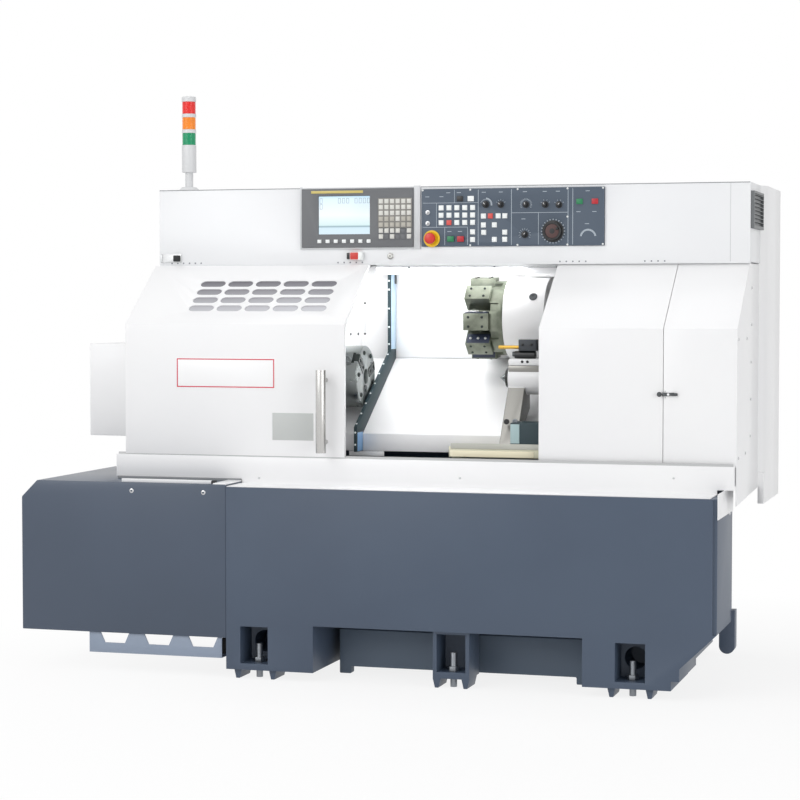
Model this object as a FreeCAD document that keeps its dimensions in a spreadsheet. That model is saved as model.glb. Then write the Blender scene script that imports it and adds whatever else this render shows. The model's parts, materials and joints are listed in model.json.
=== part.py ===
import FreeCAD, Part
import math
import os
from collections import namedtuple
from types import SimpleNamespace

import Sketcher
from FreeCAD import Placement, Rotation, Vector

# A slant-bed CNC turning lathe. Millimetres, +Z up, +X to the right of someone who stands in front,
# +Y into the machine. Places are measured from the left front corner of the base casting on the floor,
# and the whole is then set with the middle of its outline over the origin.

DIMENSIONS = {
    # Base casting
    "base_length": 1624,
    "base_top": 634,
    "foot_gap": 30,
    "front_depth": 340,
    "bed_block_left": 20,
    "bed_block_inset": 164,
    "base_depth": 1040,
    "left_foot": 303,
    "right_foot": 424,
    "recess_top": 184,
    "corner_reach": 115,
    "corner_low": 100,
    "corner_high": 210,
    "corner_step": 60,
    "corner_rebate": 13,
    "corner_rebate_depth": 10,
    "lug_inset": 41,
    "lug_over": 10,
    "lug_low": 101,
    "lug_high": 244,
    "lug_depth": 46,
    "middle_foot_left": 705,
    "middle_foot_width": 122,
    "middle_foot_front": 20,
    "middle_foot_depth": 130,
    "pocket_width": 96,
    "pocket_height": 123,
    "pocket_depth": 110,
    "pocket_floor": 21,
    "left_pocket": 50,
    "right_pocket_inset": 319,
    "rear_left_pocket": 110,
    "rear_pocket_inset": 354,
    "oil_hole_radius": 36,
    "toe_width": 26,
    "toe_length": 100,
    "toe_set_back": 12,
    "toe_taper": 7,
    # Levelling screws
    "screw_radius": 11,
    "screw_clearance": 0.5,
    "screw_set_back": 56,
    "screw_height": 112,
    "nut_radius": 19,
    "nut_height": 16,
    # Left box and its bracket
    "box_length": 740,
    "box_gap": 8,
    "box_bottom": 133,
    "box_depth": 668,
    "box_chamfer": 57,
    "box_joint": 0.3,
    "bracket_left": 496,
    "bracket_right": 18,
    "bracket_height": 69,
    "bracket_sheet": 5,
    "bracket_set_back": 8,
    "bracket_flange": 60,
    "notch_left": 455,
    "notch_pitch": 159,
    "notch_width": 104,
    "notch_depth": 35,
    "notch_taper": 16,
    # Coolant tank
    "tank_left": 330,
    "tank_right": 1180,
    "tank_front": 200,
    "tank_back": 960,
    "tank_bottom": 24,
    "tank_gap": 34,
    "tank_foot": 40,
    # Enclosure
    "sheet": 3,
    "panel_front": 150,
    "fold_rise": 180,
    "slope_run": 276,
    "slope_rise": 205,
    "console_front": 437,
    "console_height": 262,
    "console_back": 690,
    "console_left": 413,
    "console_right": 1663,
    "enclosure_left": 421,
    "enclosure_back": 1060,
    "side_over": 36,
    "apron_left": 456,
    "apron_rise": 91,
    "apron_end_rise": 16,
    "sill_depth": 45,
    "sill_lip": 25,
    "pan_front": 6,
    "pan_right": 1602,
    "flange_drop": 65,
    "side_front_drop": 36,
    "side_back_drop": 16,
    # Rear cabinet and its grille
    "cabinet_right": 1681,
    "cabinet_back": 1105,
    "cabinet_lead": 45,
    "skirt_drop": 56,
    "skirt_rise": 50,
    "cabinet_edge": 6,
    "vent_front": 442,
    "vent_back": 686,
    "vent_rise": 111,
    "vent_length": 122,
    "vent_depth": 12,
    "vent_rim": 8,
    "vent_slats": 9,
    "vent_slat_thick": 4,
    # Doors
    "door_depth": 16,
    "door_gap": 3,
    "door_lift": 4,
    "door_left": 421,
    "door_width": 785,
    "opening_width": 655,
    "service_width": 405,
    "seam": 2,
    "slot_rows": 4,
    "slot_columns": 5,
    "slot_length": 90,
    "slot_height": 34,
    "slot_pitch": 101,
    "slot_row_pitch": 46.5,
    "first_slot": 205,
    "first_row": 90,
    "window_thick": 4,
    "window_margin": 14,
    "handle_from_edge": 65,
    "handle_radius": 17,
    "handle_rise": 21,
    "handle_length": 274,
    "handle_reach": 52,
    "handle_post_radius": 8,
    "handle_post_inset": 34,
    "rail_width": 4,
    "rail_height": 8,
    "rail_in_door": 6,
    "rail_gap": 1,
    "shoe_length": 40,
    "shoe_height": 26,
    "shoe_gap": 0.3,
    "latch_drop": 39,
    "latch_plate_width": 40,
    "latch_plate_height": 30,
    "latch_plate_thick": 3,
    "latch_pin_radius": 4,
    "latch_bar_width": 12,
    "latch_bar_thick": 4,
    "latch_from_seam": 16,
    "latch_tail": 30,
    "keeper_from_seam": 12,
    "keeper_radius": 7,
    "keeper_gap": 1.5,
    # Spindle line
    "axis_depth": 400,
    "axis_rise": 356,
    "slant": 50,
    "bed_drop": 262,
    "bed_rise": 260,
    "bed_ledge": 50,
    "bed_left": 20,
    "bed_right": 1440,
    "head_right": 245,
    "head_half": 150,
    "head_over": 130,
    "head_chamfer": 45,
    "spindle_radius": 60,
    "running_fit": 0.05,
    "spindle_left": -130,
    "nose_radius": 84,
    "nose_length": 12,
    "nose_gap": 4,
    "spindle_bore": 31,
    "pulley_radius": 78,
    "pulley_left": -92,
    "pulley_width": 64,
    "pulley_rim": 5,
    "pulley_groove": 4,
    "belt_thick": 7,
    "belt_gap": 0.3,
    "actuator_radius": 82,
    "actuator_length": 165,
    "draw_tube_radius": 30,
    "draw_tube_bore": 26,
    "draw_tube_wall_gap": 40,
    "motor_depth": 318,
    "motor_rise": 103,
    "motor_radius": 88,
    "motor_left": -20,
    "motor_length": 250,
    "motor_shaft": 19,
    "motor_feet": 60,
    "chuck_radius": 105,
    "chuck_length": 95,
    "chuck_edge": 3,
    "chuck_bore": 26,
    "jaw_count": 3,
    "jaw_width": 32,
    "jaw_base": 24,
    "jaw_proud": 1.5,
    "jaw_foot_width": 44,
    "jaw_foot": 10,
    "jaw_bolt_radius": 6.5,
    "jaw_bolt_spread": 19,
    "jaw_bolt_depth": 16,
    "jaw_inner": 34,
    "jaw_outer": 102,
    "tube_travel": 16,
    "jaw_gap": 0.1,
    "jaw_stroke": 4,
    # Walls and covers of the working area
    "wall_thick": 5,
    "wall_clearance": 5,
    "wall_hole": 96,
    "wall_front": 175,
    "strip_left": 364,
    "cover_corner": 318,
    "cover_corner_drop": 190,
    "cover_back": 712,
    "cover_back_rise": 55,
    "cover_foot_rise": 16,
    "cover_web": 5,
    "leaf_gap": 2,
    "leaf_thick": 3,
    "leaf_rise": 62,
    "leaf_over": 25,
    "wiper_width": 65,
    "wiper_thick": 12,
    "trough_left": 372,
    "trough_right": 704,
    "trough_wall": 80,
    # Carriage
    "rail_one": 262,
    "rail_two": 425,
    "way_width": 35,
    "way_height": 34,
    "way_end": 10,
    "slide_gap": 0.3,
    "saddle_left": 852,
    "saddle_length": 298,
    "saddle_low": 245,
    "saddle_high": 478,
    "saddle_top": 152,
    "saddle_wrap": 20,
    "z_screw_at": 361,
    "z_screw_drop": 205,
    "z_screw_radius": 16,
    "z_screw_gap": 0.4,
    "bearing_block": 40,
    "bearing_block_width": 70,
    "x_motor_size": 90,
    "x_motor_length": 130,
    # Turret
    "turret_at": 260,
    "disc_left": 784,
    "disc_thick": 44,
    "disc_radius": 127,
    "disc_gap": 4,
    "disc_boss_radius": 58,
    "disc_boss_length": 16,
    "disc_shaft_radius": 40,
    "disc_shaft_length": 34,
    "stations": 8,
    "station_width": 30,
    "station_depth": 13,
    "drum_radius": 138,
    "drum_length": 143,
    "drum_tail_radius": 88,
    "drum_tail_length": 175,
    "slide_low": 242,
    "slide_high": 385,
    "holder_length": 88,
    "holder_width": 58,
    "holder_inner": 74,
    "holder_outer": 138,
    "holder_bore": 11,
    # Tailstock
    "way_left": 709,
    "tail_way_front": 200,
    "tail_way_back": 312,
    "tail_way_rise": 45,
    "tail_way_thick": 35,
    "tail_leg_width": 40,
    "tail_left": 872,
    "tail_web": 58,
    "tail_web_front": 225,
    "tail_web_gap": 18,
    "tail_foot_inset": 45,
    "tail_foot_height": 80,
    "tail_length": 250,
    "barrel_radius": 55,
    "quill_radius": 30,
    "quill_out": 6,
    "quill_length": 190,
    "centre_radius": 23,
    "centre_neck": 6,
    "centre_tip": 26,
    "centre_shank_radius": 14,
    "centre_shank": 60,
    # Control
    "display_left": 121,
    "display_width": 400,
    "display_rise": 57,
    "display_height": 200,
    "display_proud": 12,
    "display_sunk": 38,
    "screen_left": 60,
    "screen_width": 186,
    "screen_bottom": 44,
    "screen_height": 132,
    "screen_sunk": 6,
    "keys_left": 278,
    "key_columns": 6,
    "key_rows": 7,
    "key_size": 15,
    "key_pitch": 20,
    "keys_bottom": 26,
    "key_proud": 2,
    "softkey_count": 7,
    "softkey_pitch": 24,
    "panel_left": 550,
    "panel_width": 630,
    "panel_rise": 58,
    "panel_height": 194,
    "panel_proud": 7,
    "panel_sunk": 3,
    "panel_clearance": 0.5,
    "button_hole_gap": 0.1,
    "estop_x": 34,
    "estop_z": 27,
    "estop_radius": 19,
    "estop_collar": 27,
    "estop_collar_thick": 3,
    "estop_stem": 9,
    "estop_out": 26,
    "estop_head": 12,
    "button_radius": 8,
    "button_out": 6,
    "button_in": 2,
    "start_x": 103,
    "hold_x": 138,
    "buttons_z": 24,
    "knob_radius": 12,
    "knob_out": 18,
    "knob_stem": 4,
    "knob_gap": 0.3,
    "feed_knob_x": 225,
    "feed_knob_z": 140,
    "mode_knob_x": 360,
    "mode_knob_z": 38,
    "handwheel_x": 457,
    "handwheel_z": 48,
    "handwheel_radius": 40,
    "handwheel_out": 20,
    "handwheel_hub": 24,
    "interlock_x": 296,
    "interlock_rise": 13,
    "interlock_width": 46,
    "interlock_height": 28,
    "interlock_out": 18,
    "lock_x": 438,
    "lock_rise": 26,
    "lock_radius": 11,
    "lock_out": 9,
    # Door stop, end guard and signal tower
    "stop_x": -404,
    "stop_rise": 7,
    "stop_width": 74,
    "stop_height": 30,
    "stop_out": 12,
    "guard_length": 200,
    "guard_neck": 62,
    "guard_front": 300,
    "guard_depth": 300,
    "guard_drop": 212,
    "guard_height": 321,
    "guard_neck_inset": 16,
    "guard_chamfer": 22,
    "bar_hole": 32,
    "tower_x": -321,
    "tower_y": 490,
    "tower_radius": 25.5,
    "tower_foot": 38,
    "tower_foot_height": 12,
    "tower_neck_radius": 14,
    "tower_neck": 52,
    "tower_base": 96,
    "lens_height": 50,
    "lens_ring": 5,
    "lens_radius": 23,
    "cap_height": 12,
}

# ---------------------------------------------------------------- the document and its sheet of sizes

document = FreeCAD.newDocument("TurningLathe")
sheet = document.addObject("Spreadsheet::Sheet", "Sizes")
for row, (name, number) in enumerate(DIMENSIONS.items(), 1):
    sheet.set(f"A{row}", name)
    sheet.set(f"B{row}", str(number))
    sheet.setAlias(f"B{row}", name)
document.recompute()


class Size:
    """A length or an angle: the number it has now, and the formula on the sheet that it follows."""

    def __init__(self, number, formula):
        self.number = float(number)
        self.formula = formula

    def __add__(self, other):
        other = as_size(other)
        return Size(self.number + other.number, f"({self.formula} + {other.formula})")

    def __radd__(self, other):
        return as_size(other) + self

    def __sub__(self, other):
        other = as_size(other)
        return Size(self.number - other.number, f"({self.formula} - {other.formula})")

    def __rsub__(self, other):
        return as_size(other) - self

    def __mul__(self, other):
        other = as_size(other)
        return Size(self.number * other.number, f"({self.formula} * {other.formula})")

    def __rmul__(self, other):
        return as_size(other) * self

    def __truediv__(self, other):
        other = as_size(other)
        return Size(self.number / other.number, f"({self.formula} / {other.formula})")

    def __neg__(self):
        return as_size(0) - self


def as_size(value):
    return value if isinstance(value, Size) else Size(value, f"({value})")


def cosine(angle):
    return Size(math.cos(math.radians(angle.number)), f"cos({angle.formula})")


def sine(angle):
    return Size(math.sin(math.radians(angle.number)), f"sin({angle.formula})")


def tangent(angle):
    return Size(math.tan(math.radians(angle.number)), f"tan({angle.formula})")


def angle_of(rise_over_run):
    degrees = math.degrees(math.atan(rise_over_run.number))
    return Size(degrees, f"(atan({rise_over_run.formula}) / 1 deg)")


d = SimpleNamespace(**{name: Size(number, f"Sizes.{name}") for name, number in DIMENSIONS.items()})
zero = as_size(0)

# The heights follow one another: the covers stand on the casting, and the walls, the doors and the
# console go by the spindle's axis.
lug_left = d.base_length - d.lug_inset
lug_right = d.base_length + d.lug_over
side_right = d.base_length + d.side_over
recess_right = d.base_length - d.right_foot
bed_block_right = d.base_length - d.bed_block_inset
right_pocket = d.base_length - d.right_pocket_inset
rear_right_pocket = d.base_length - d.rear_pocket_inset
apron_top = d.base_top + d.apron_rise
apron_left_bottom = d.base_top + d.apron_end_rise
left_side_bottom = apron_left_bottom
flange_bottom = d.base_top - d.flange_drop
flange_top = apron_top - d.sill_lip
side_hang = d.base_top - d.side_front_drop
side_bottom = d.base_top - d.side_back_drop
cabinet_skirt_bottom = side_bottom - d.skirt_drop
cabinet_skirt_top = side_bottom + d.skirt_rise
box_top = left_side_bottom - d.box_gap
bracket_bottom = d.box_bottom - d.bracket_height
tank_top = d.recess_top - d.tank_gap
motor_height = d.base_top + d.motor_rise
tail_way_top = apron_top + d.tail_way_rise
handle_bottom = apron_top + d.handle_rise
handle_top = handle_bottom + d.handle_length
cover_foot = apron_top + d.cover_foot_rise
axis_height = d.base_top + d.axis_rise
latch_height = axis_height - d.latch_drop
guard_bottom = axis_height - d.guard_drop
guard_top = guard_bottom + d.guard_height
cover_corner_height = axis_height - d.cover_corner_drop
cover_back_height = axis_height + d.cover_back_rise
leaf_bottom = axis_height + d.leaf_rise
bed_height = axis_height + d.bed_rise
fold_height = axis_height + d.fold_rise
console_bottom = fold_height + d.slope_rise
console_top = console_bottom + d.console_height
wall_top = console_bottom - d.door_lift
leaf_top = console_bottom + d.leaf_over
vent_bottom = console_bottom + d.vent_rise
vent_top = vent_bottom + d.vent_length
display_bottom = console_bottom + d.display_rise
panel_bottom = console_bottom + d.panel_rise
interlock_z = console_bottom + d.interlock_rise
lock_z = console_bottom + d.lock_rise
stop_z = console_bottom + d.stop_rise

# The outline on the floor, which the origin is the middle of.
middle_x = (d.cabinet_right - d.box_length) / 2
middle_y = d.cabinet_back / 2
# The doors' upper part leans back from the upright by this angle.
lean = angle_of(d.slope_run / d.slope_rise)

# Three frames: the machine's own, the slanted bed's (along X, up the bed, square to the bed, from the
# spindle's axis) and the leaning front's (along X, square into it, up it, from the fold).
Frame = namedtuple("Frame", "depth height angle")
MACHINE = Frame(zero, zero, None)
BED = Frame(d.axis_depth, axis_height, d.slant)
SLOPE = Frame(d.panel_front, fold_height, -lean)


def bind(thing, field, value):
    thing.setExpression(field, as_size(value).formula)


def placed(thing, x, y, z, frame=MACHINE, along="z"):
    """Puts an object at a place given in a frame, with its own Z along the frame's x, y or z."""
    y = as_size(y)
    z = as_size(z)
    depth = frame.depth + y
    height = frame.height + z
    turn = frame.angle
    if turn is not None:
        depth = frame.depth + y * cosine(turn) - z * sine(turn)
        height = frame.height + y * sine(turn) + z * cosine(turn)
    if along == "x":
        thing.Placement = Placement(Vector(), Rotation(Vector(0, 1, 0), 90))
    elif turn is not None or along == "y":
        turn = as_size(0) if turn is None else turn
        turn = turn - 90 if along == "y" else turn
        thing.Placement = Placement(Vector(), Rotation(Vector(1, 0, 0), turn.number))
        bind(thing, "Placement.Rotation.Angle", turn)
    bind(thing, "Placement.Base.x", as_size(x) - middle_x)
    bind(thing, "Placement.Base.y", depth - middle_y)
    bind(thing, "Placement.Base.z", height)
    return thing


def block(x, y, z, length, depth, height, frame=MACHINE):
    """A box from its lowest corner."""
    thing = document.addObject("Part::Box", "Block")
    bind(thing, "Length", length)
    bind(thing, "Width", depth)
    bind(thing, "Height", height)
    return placed(thing, x, y, z, frame)


def rod(x, y, z, radius, length, along, frame=MACHINE):
    """A round bar from the middle of its first end."""
    thing = document.addObject("Part::Cylinder", "Rod")
    bind(thing, "Radius", radius)
    bind(thing, "Height", length)
    return placed(thing, x, y, z, frame, along)


def taper(x, y, z, first, last, length, along, frame=MACHINE):
    """A cone from its first radius to its last."""
    thing = document.addObject("Part::Cone", "Taper")
    bind(thing, "Radius1", first)
    bind(thing, "Radius2", last)
    bind(thing, "Height", length)
    return placed(thing, x, y, z, frame, along)


def prism_bar(x, y, z, radius, length, sides):
    """An upright bar with flat sides, such as a nut."""
    thing = document.addObject("Part::Prism", "Bar")
    thing.Polygon = sides
    bind(thing, "Circumradius", radius)
    bind(thing, "Height", length)
    return placed(thing, x, y, z)


def fused(pieces):
    whole = document.addObject("Part::MultiFuse", "Fused")
    whole.Shapes = pieces
    return whole


def cut(base, tools):
    """The base less the tools."""
    result = document.addObject("Part::Cut", "Cut")
    result.Base = base
    result.Tool = tools[0] if len(tools) == 1 else fused(tools)
    return result


def grouped(pieces):
    """Like pieces that stay separate solids."""
    group = document.addObject("Part::Compound", "Group")
    group.Links = pieces
    return group


# Drawing in sketches. A list of corners is a closed outline.
Circle = namedtuple("Circle", "x y radius")
Obround = namedtuple("Obround", "x y length height")
# Which way a plane's normal runs along its axis.
NORMALS = {"XY_Plane": 1, "XZ_Plane": -1, "YZ_Plane": 1}


def new_body(frame=MACHINE):
    body = document.addObject("PartDesign::Body", "Body")
    return placed(body, 0, 0, 0, frame)


def fixed(sketch, kind, element, end, value):
    """Ties a point of a sketch to a distance from its origin."""
    number = sketch.addConstraint(Sketcher.Constraint(kind, -1, 1, element, end, value.number))
    bind(sketch, f"Constraints[{number}]", value)


def draw_outline(sketch, corners):
    corners = [(as_size(x), as_size(y)) for x, y in corners]
    first = sketch.GeometryCount
    count = len(corners)
    points = [Vector(x.number, y.number, 0) for x, y in corners]
    for i in range(count):
        sketch.addGeometry(Part.LineSegment(points[i], points[(i + 1) % count]))
    for i in range(count):
        joint = Sketcher.Constraint("Coincident", first + i, 2, first + (i + 1) % count, 1)
        sketch.addConstraint(joint)
    for i, (x, y) in enumerate(corners):
        fixed(sketch, "DistanceX", first + i, 1, x)
        fixed(sketch, "DistanceY", first + i, 1, y)


def draw_circle(sketch, circle):
    x, y, radius = (as_size(value) for value in circle)
    centre = Vector(x.number, y.number, 0)
    element = sketch.addGeometry(Part.Circle(centre, Vector(0, 0, 1), radius.number))
    fixed(sketch, "DistanceX", element, 3, x)
    fixed(sketch, "DistanceY", element, 3, y)
    number = sketch.addConstraint(Sketcher.Constraint("Radius", element, radius.number))
    bind(sketch, f"Constraints[{number}]", radius)


def draw_obround(sketch, obround):
    """A slot with round ends: two half circles and the two lines between them."""
    x, y, length, height = (as_size(value) for value in obround)
    radius = height / 2
    reach = (length - height) / 2
    first = sketch.GeometryCount
    up = Vector(0, 0, 1)
    left = Part.Circle(Vector((x - reach).number, y.number, 0), up, radius.number)
    right = Part.Circle(Vector((x + reach).number, y.number, 0), up, radius.number)
    quarter = math.pi / 2
    sketch.addGeometry(Part.ArcOfCircle(left, quarter, 3 * quarter))
    sketch.addGeometry(Part.ArcOfCircle(right, -quarter, quarter))
    for side in (-1, 1):
        level = (y + radius * side).number
        start = Vector((x - reach).number, level, 0)
        end = Vector((x + reach).number, level, 0)
        sketch.addGeometry(Part.LineSegment(start, end))
    arc_left, arc_right, low, high = range(first, first + 4)
    for pair in ((arc_left, 2, low, 1), (arc_right, 1, low, 2)):
        sketch.addConstraint(Sketcher.Constraint("Coincident", *pair))
    for pair in ((arc_left, 1, high, 1), (arc_right, 2, high, 2)):
        sketch.addConstraint(Sketcher.Constraint("Coincident", *pair))
    for arc, centre in ((arc_left, x - reach), (arc_right, x + reach)):
        fixed(sketch, "DistanceX", arc, 3, centre)
        fixed(sketch, "DistanceY", arc, 3, y)
    for end, where in ((1, x - reach), (2, x + reach)):
        fixed(sketch, "DistanceX", low, end, where)
        fixed(sketch, "DistanceY", low, end, y - radius)
        fixed(sketch, "DistanceX", high, end, where)


def draw(sketch, shape):
    if isinstance(shape, Circle):
        draw_circle(sketch, shape)
    elif isinstance(shape, Obround):
        draw_obround(sketch, shape)
    else:
        draw_outline(sketch, shape)


def sketched(body, plane, at, shapes, leaning=False):
    """A sketch on one of the body's own planes, moved along that plane's axis.

    A leaning one lies on the leaning front, and is drawn from the fold upwards."""
    sketch = body.newObject("Sketcher::SketchObject", "Sketch")
    planes = [feature for feature in body.Origin.OriginFeatures if feature.Role == plane]
    sketch.AttachmentSupport = (planes[0], [""])
    sketch.MapMode = "FlatFace"
    if leaning:
        sketch.AttachmentOffset = Placement(Vector(), Rotation(Vector(1, 0, 0), -lean.number))
        bind(sketch, "AttachmentOffset.Rotation.Angle", -lean)
        bind(sketch, "AttachmentOffset.Base.y", fold_height)
    bind(sketch, "AttachmentOffset.Base.z", as_size(at) * NORMALS[plane])
    for shape in shapes:
        draw(sketch, shape)
    return sketch


def raised(body, plane, at, shapes, length):
    """Material over the shapes, from a place on the plane's axis and onward along it."""
    pad = body.newObject("PartDesign::Pad", "Pad")
    pad.Profile = sketched(body, plane, at, shapes)
    pad.Reversed = NORMALS[plane] < 0
    bind(pad, "Length", length)
    document.recompute()
    return pad


def sunk(body, plane, at, shapes, length, leaning=False):
    """A cut over the shapes, from a place on the plane's axis and onward along it."""
    before = body.Shape.Volume
    pocket = body.newObject("PartDesign::Pocket", "Pocket")
    pocket.Profile = sketched(body, plane, at, shapes, leaning)
    pocket.Reversed = NORMALS[plane] > 0
    bind(pocket, "Length", length)
    document.recompute()
    if body.Shape.Volume >= before:
        raise ValueError(f"{body.Name}: {pocket.Name} cuts nothing")
    return pocket


def repeated(body, feature, sketch_axis, count, length):
    """A row of a feature along an axis of its sketch."""
    row = body.newObject("PartDesign::LinearPattern", "Row")
    row.Originals = [feature]
    row.Direction = (feature.Profile[0], [sketch_axis])
    bind(row, "Length", length)
    bind(row, "Occurrences", count)
    body.Tip = row
    document.recompute()
    return row


def rectangle(x, y, width, height):
    x, y, width, height = (as_size(value) for value in (x, y, width, height))
    return [(x, y), (x + width, y), (x + width, y + height), (x, y + height)]


NODES = {}


def node(name, thing):
    thing.Label = name
    NODES[name] = thing
    return thing


# -------------------------------------------------------------------------------- the base casting

# One iron casting: a full-length front on three feet, and the block behind it that the bed stands on.
# The feet have pockets for the levelling screws, and toes on each side of them.
base = new_body()
foot_right = d.base_length - d.corner_reach
front_outline = [
    (0, d.foot_gap),
    (d.left_foot, d.foot_gap),
    (d.left_foot, d.recess_top),
    (recess_right, d.recess_top),
    (recess_right, d.foot_gap),
    (foot_right - d.toe_width, d.foot_gap),
    (foot_right - d.toe_width, d.corner_step),
    (foot_right, d.corner_step),
    (foot_right, d.corner_low),
    (d.base_length, d.corner_high),
    (d.base_length, d.base_top),
    (0, d.base_top),
]
raised(base, "XZ_Plane", 0, [front_outline], d.front_depth)
block_outline = [
    (d.bed_block_left, d.foot_gap),
    (d.left_foot, d.foot_gap),
    (d.left_foot, d.recess_top),
    (recess_right, d.recess_top),
    (recess_right, d.foot_gap),
    (bed_block_right, d.foot_gap),
    (bed_block_right, d.base_top),
    (d.bed_block_left, d.base_top),
]
raised(base, "XZ_Plane", d.front_depth, [block_outline], d.base_depth - d.front_depth)
middle_foot = rectangle(
    d.middle_foot_left, d.foot_gap, d.middle_foot_width, d.recess_top - d.foot_gap
)
raised(base, "XZ_Plane", d.middle_foot_front, [middle_foot], d.middle_foot_depth)

corner_rebate = rectangle(
    d.base_length - d.corner_rebate,
    d.corner_high,
    d.corner_rebate,
    d.base_top - d.corner_high,
)
sunk(base, "XZ_Plane", 0, [corner_rebate], d.corner_rebate_depth)

# The lifting lug behind the right corner, with a round end.
lug_radius = (lug_right - lug_left) / 2
lug = rectangle(
    lug_left, d.lug_low + lug_radius, lug_radius * 2, d.lug_high - d.lug_low - lug_radius
)
raised(base, "XZ_Plane", d.front_depth, [lug], d.lug_depth)
lug_end = Circle(lug_left + lug_radius, d.lug_low + lug_radius, lug_radius)
raised(base, "XZ_Plane", d.front_depth, [lug_end], d.lug_depth)

middle_pocket = d.middle_foot_left + (d.middle_foot_width - d.pocket_width) / 2
side_pockets = (d.left_pocket, right_pocket)
rear_pockets = (d.rear_left_pocket, rear_right_pocket)
pocket_level = d.foot_gap + d.pocket_floor


def foot_pocket(left):
    return rectangle(left, pocket_level, d.pocket_width, d.pocket_height)


sunk(base, "XZ_Plane", 0, [foot_pocket(left) for left in side_pockets], d.pocket_depth)
sunk(base, "XZ_Plane", d.middle_foot_front, [foot_pocket(middle_pocket)], d.pocket_depth)
rear_face = d.base_depth - d.pocket_depth
sunk(base, "XZ_Plane", rear_face, [foot_pocket(left) for left in rear_pockets], d.pocket_depth)
oil_holes = [
    Circle(left + d.pocket_width / 2, pocket_level + d.pocket_height / 2, d.oil_hole_radius)
    for left in side_pockets
]
sunk(base, "XZ_Plane", 0, oil_holes, d.front_depth * 2 / 3)


def toe(left):
    """A rib under the foot that narrows downwards to the floor."""
    return [
        (left, d.foot_gap),
        (left + d.toe_taper, 0),
        (left + d.toe_width - d.toe_taper, 0),
        (left + d.toe_width, d.foot_gap),
    ]


def toes(pockets):
    return [toe(side) for left in pockets for side in (left - d.toe_width, left + d.pocket_width)]


middle_toes = [
    toe(d.middle_foot_left),
    toe(d.middle_foot_left + d.middle_foot_width - d.toe_width),
]
raised(base, "XZ_Plane", d.toe_set_back, toes(side_pockets), d.toe_length)
raised(base, "XZ_Plane", d.middle_foot_front, middle_toes, d.toe_length)
rear_toe_start = d.base_depth - d.toe_set_back - d.toe_length
raised(base, "XZ_Plane", rear_toe_start, toes(rear_pockets), d.toe_length)

rear_screw = d.base_depth - d.screw_set_back
front_pockets = (d.left_pocket, middle_pocket, right_pocket)
screw_places = [(left + d.pocket_width / 2, d.screw_set_back) for left in front_pockets]
screw_places += [(left + d.pocket_width / 2, rear_screw) for left in rear_pockets]
screw_hole = d.screw_radius + d.screw_clearance
screw_holes = [Circle(x, y, screw_hole) for x, y in screw_places]
sunk(base, "XY_Plane", d.foot_gap, screw_holes, d.pocket_floor)
node("base_casting", base)

# A levelling screw in each foot: it stands on the floor, and its nut bears on the pocket's floor.
screws = []
for x, y in screw_places:
    shank = rod(x, y, 0, d.screw_radius, d.screw_height, "z")
    nut = prism_bar(x, y, pocket_level, d.nut_radius, d.nut_height, 6)
    screws.append(fused([shank, nut]))
node("levelling_screws", grouped(screws))

# ------------------------------------------------------- the left box, its bracket, the coolant tank

# The box over the chip outlet, closed all round, with its outer top edge chamfered.
box = new_body()
box_outline = [
    (-d.box_length, d.box_bottom),
    (-d.box_joint, d.box_bottom),
    (-d.box_joint, box_top),
    (d.box_chamfer - d.box_length, box_top),
    (-d.box_length, box_top - d.box_chamfer),
]
raised(box, "XZ_Plane", 0, [box_outline], d.box_depth)
node("left_base_box", box)

# A folded bracket that carries the box, with three notches in its upper edge.
bracket = new_body()
bracket_height = d.box_bottom - bracket_bottom
upright = rectangle(
    -d.bracket_left, bracket_bottom, d.bracket_left - d.bracket_right, bracket_height
)
raised(bracket, "XZ_Plane", d.bracket_set_back, [upright], d.bracket_sheet)
foot_flange = rectangle(
    -d.bracket_left, bracket_bottom, d.bracket_left - d.bracket_right, d.bracket_sheet
)
flange_start = d.bracket_set_back + d.bracket_sheet
raised(bracket, "XZ_Plane", flange_start, [foot_flange], d.bracket_flange)
notches = []
for i in range(3):
    left = d.notch_pitch * i - d.notch_left
    notches.append(
        [
            (left, d.box_bottom),
            (left + d.notch_taper, d.box_bottom - d.notch_depth),
            (left + d.notch_width - d.notch_taper, d.box_bottom - d.notch_depth),
            (left + d.notch_width, d.box_bottom),
        ]
    )
sunk(bracket, "XZ_Plane", d.bracket_set_back, notches, d.bracket_sheet)
node("left_box_bracket", bracket)

# The closed coolant tank in the recess of the base, on four short feet.
tank = new_body()
tank_outline = rectangle(
    d.tank_left, d.tank_front, d.tank_right - d.tank_left, d.tank_back - d.tank_front
)
raised(tank, "XY_Plane", d.tank_bottom, [tank_outline], tank_top - d.tank_bottom)
tank_feet = [
    rectangle(x, y, d.tank_foot, d.tank_foot)
    for x in (d.tank_left, d.tank_right - d.tank_foot)
    for y in (d.tank_front, d.tank_back - d.tank_foot)
]
raised(tank, "XY_Plane", 0, tank_feet, d.tank_bottom)
node("coolant_tank", tank)

# ------------------------------------------------------------------------ the sheet metal enclosure


def leaning_depth(set_back, height):
    """How deep the leaning front lies at a height, set back square to itself."""
    return d.panel_front + set_back / cosine(lean) + (height - fold_height) * tangent(lean)


def fold_of(set_back):
    return fold_height - set_back * tangent(lean / 2)


def folded(set_back, thickness, bottom, top):
    """The section of a layer along the enclosure's front: upright, then leaning back."""
    outer = as_size(set_back)
    inner = outer + thickness
    return [
        (d.panel_front + outer, bottom),
        (d.panel_front + outer, fold_of(outer)),
        (leaning_depth(outer, top), top),
        (leaning_depth(inner, top), top),
        (d.panel_front + inner, fold_of(inner)),
        (d.panel_front + inner, bottom),
    ]


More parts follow.
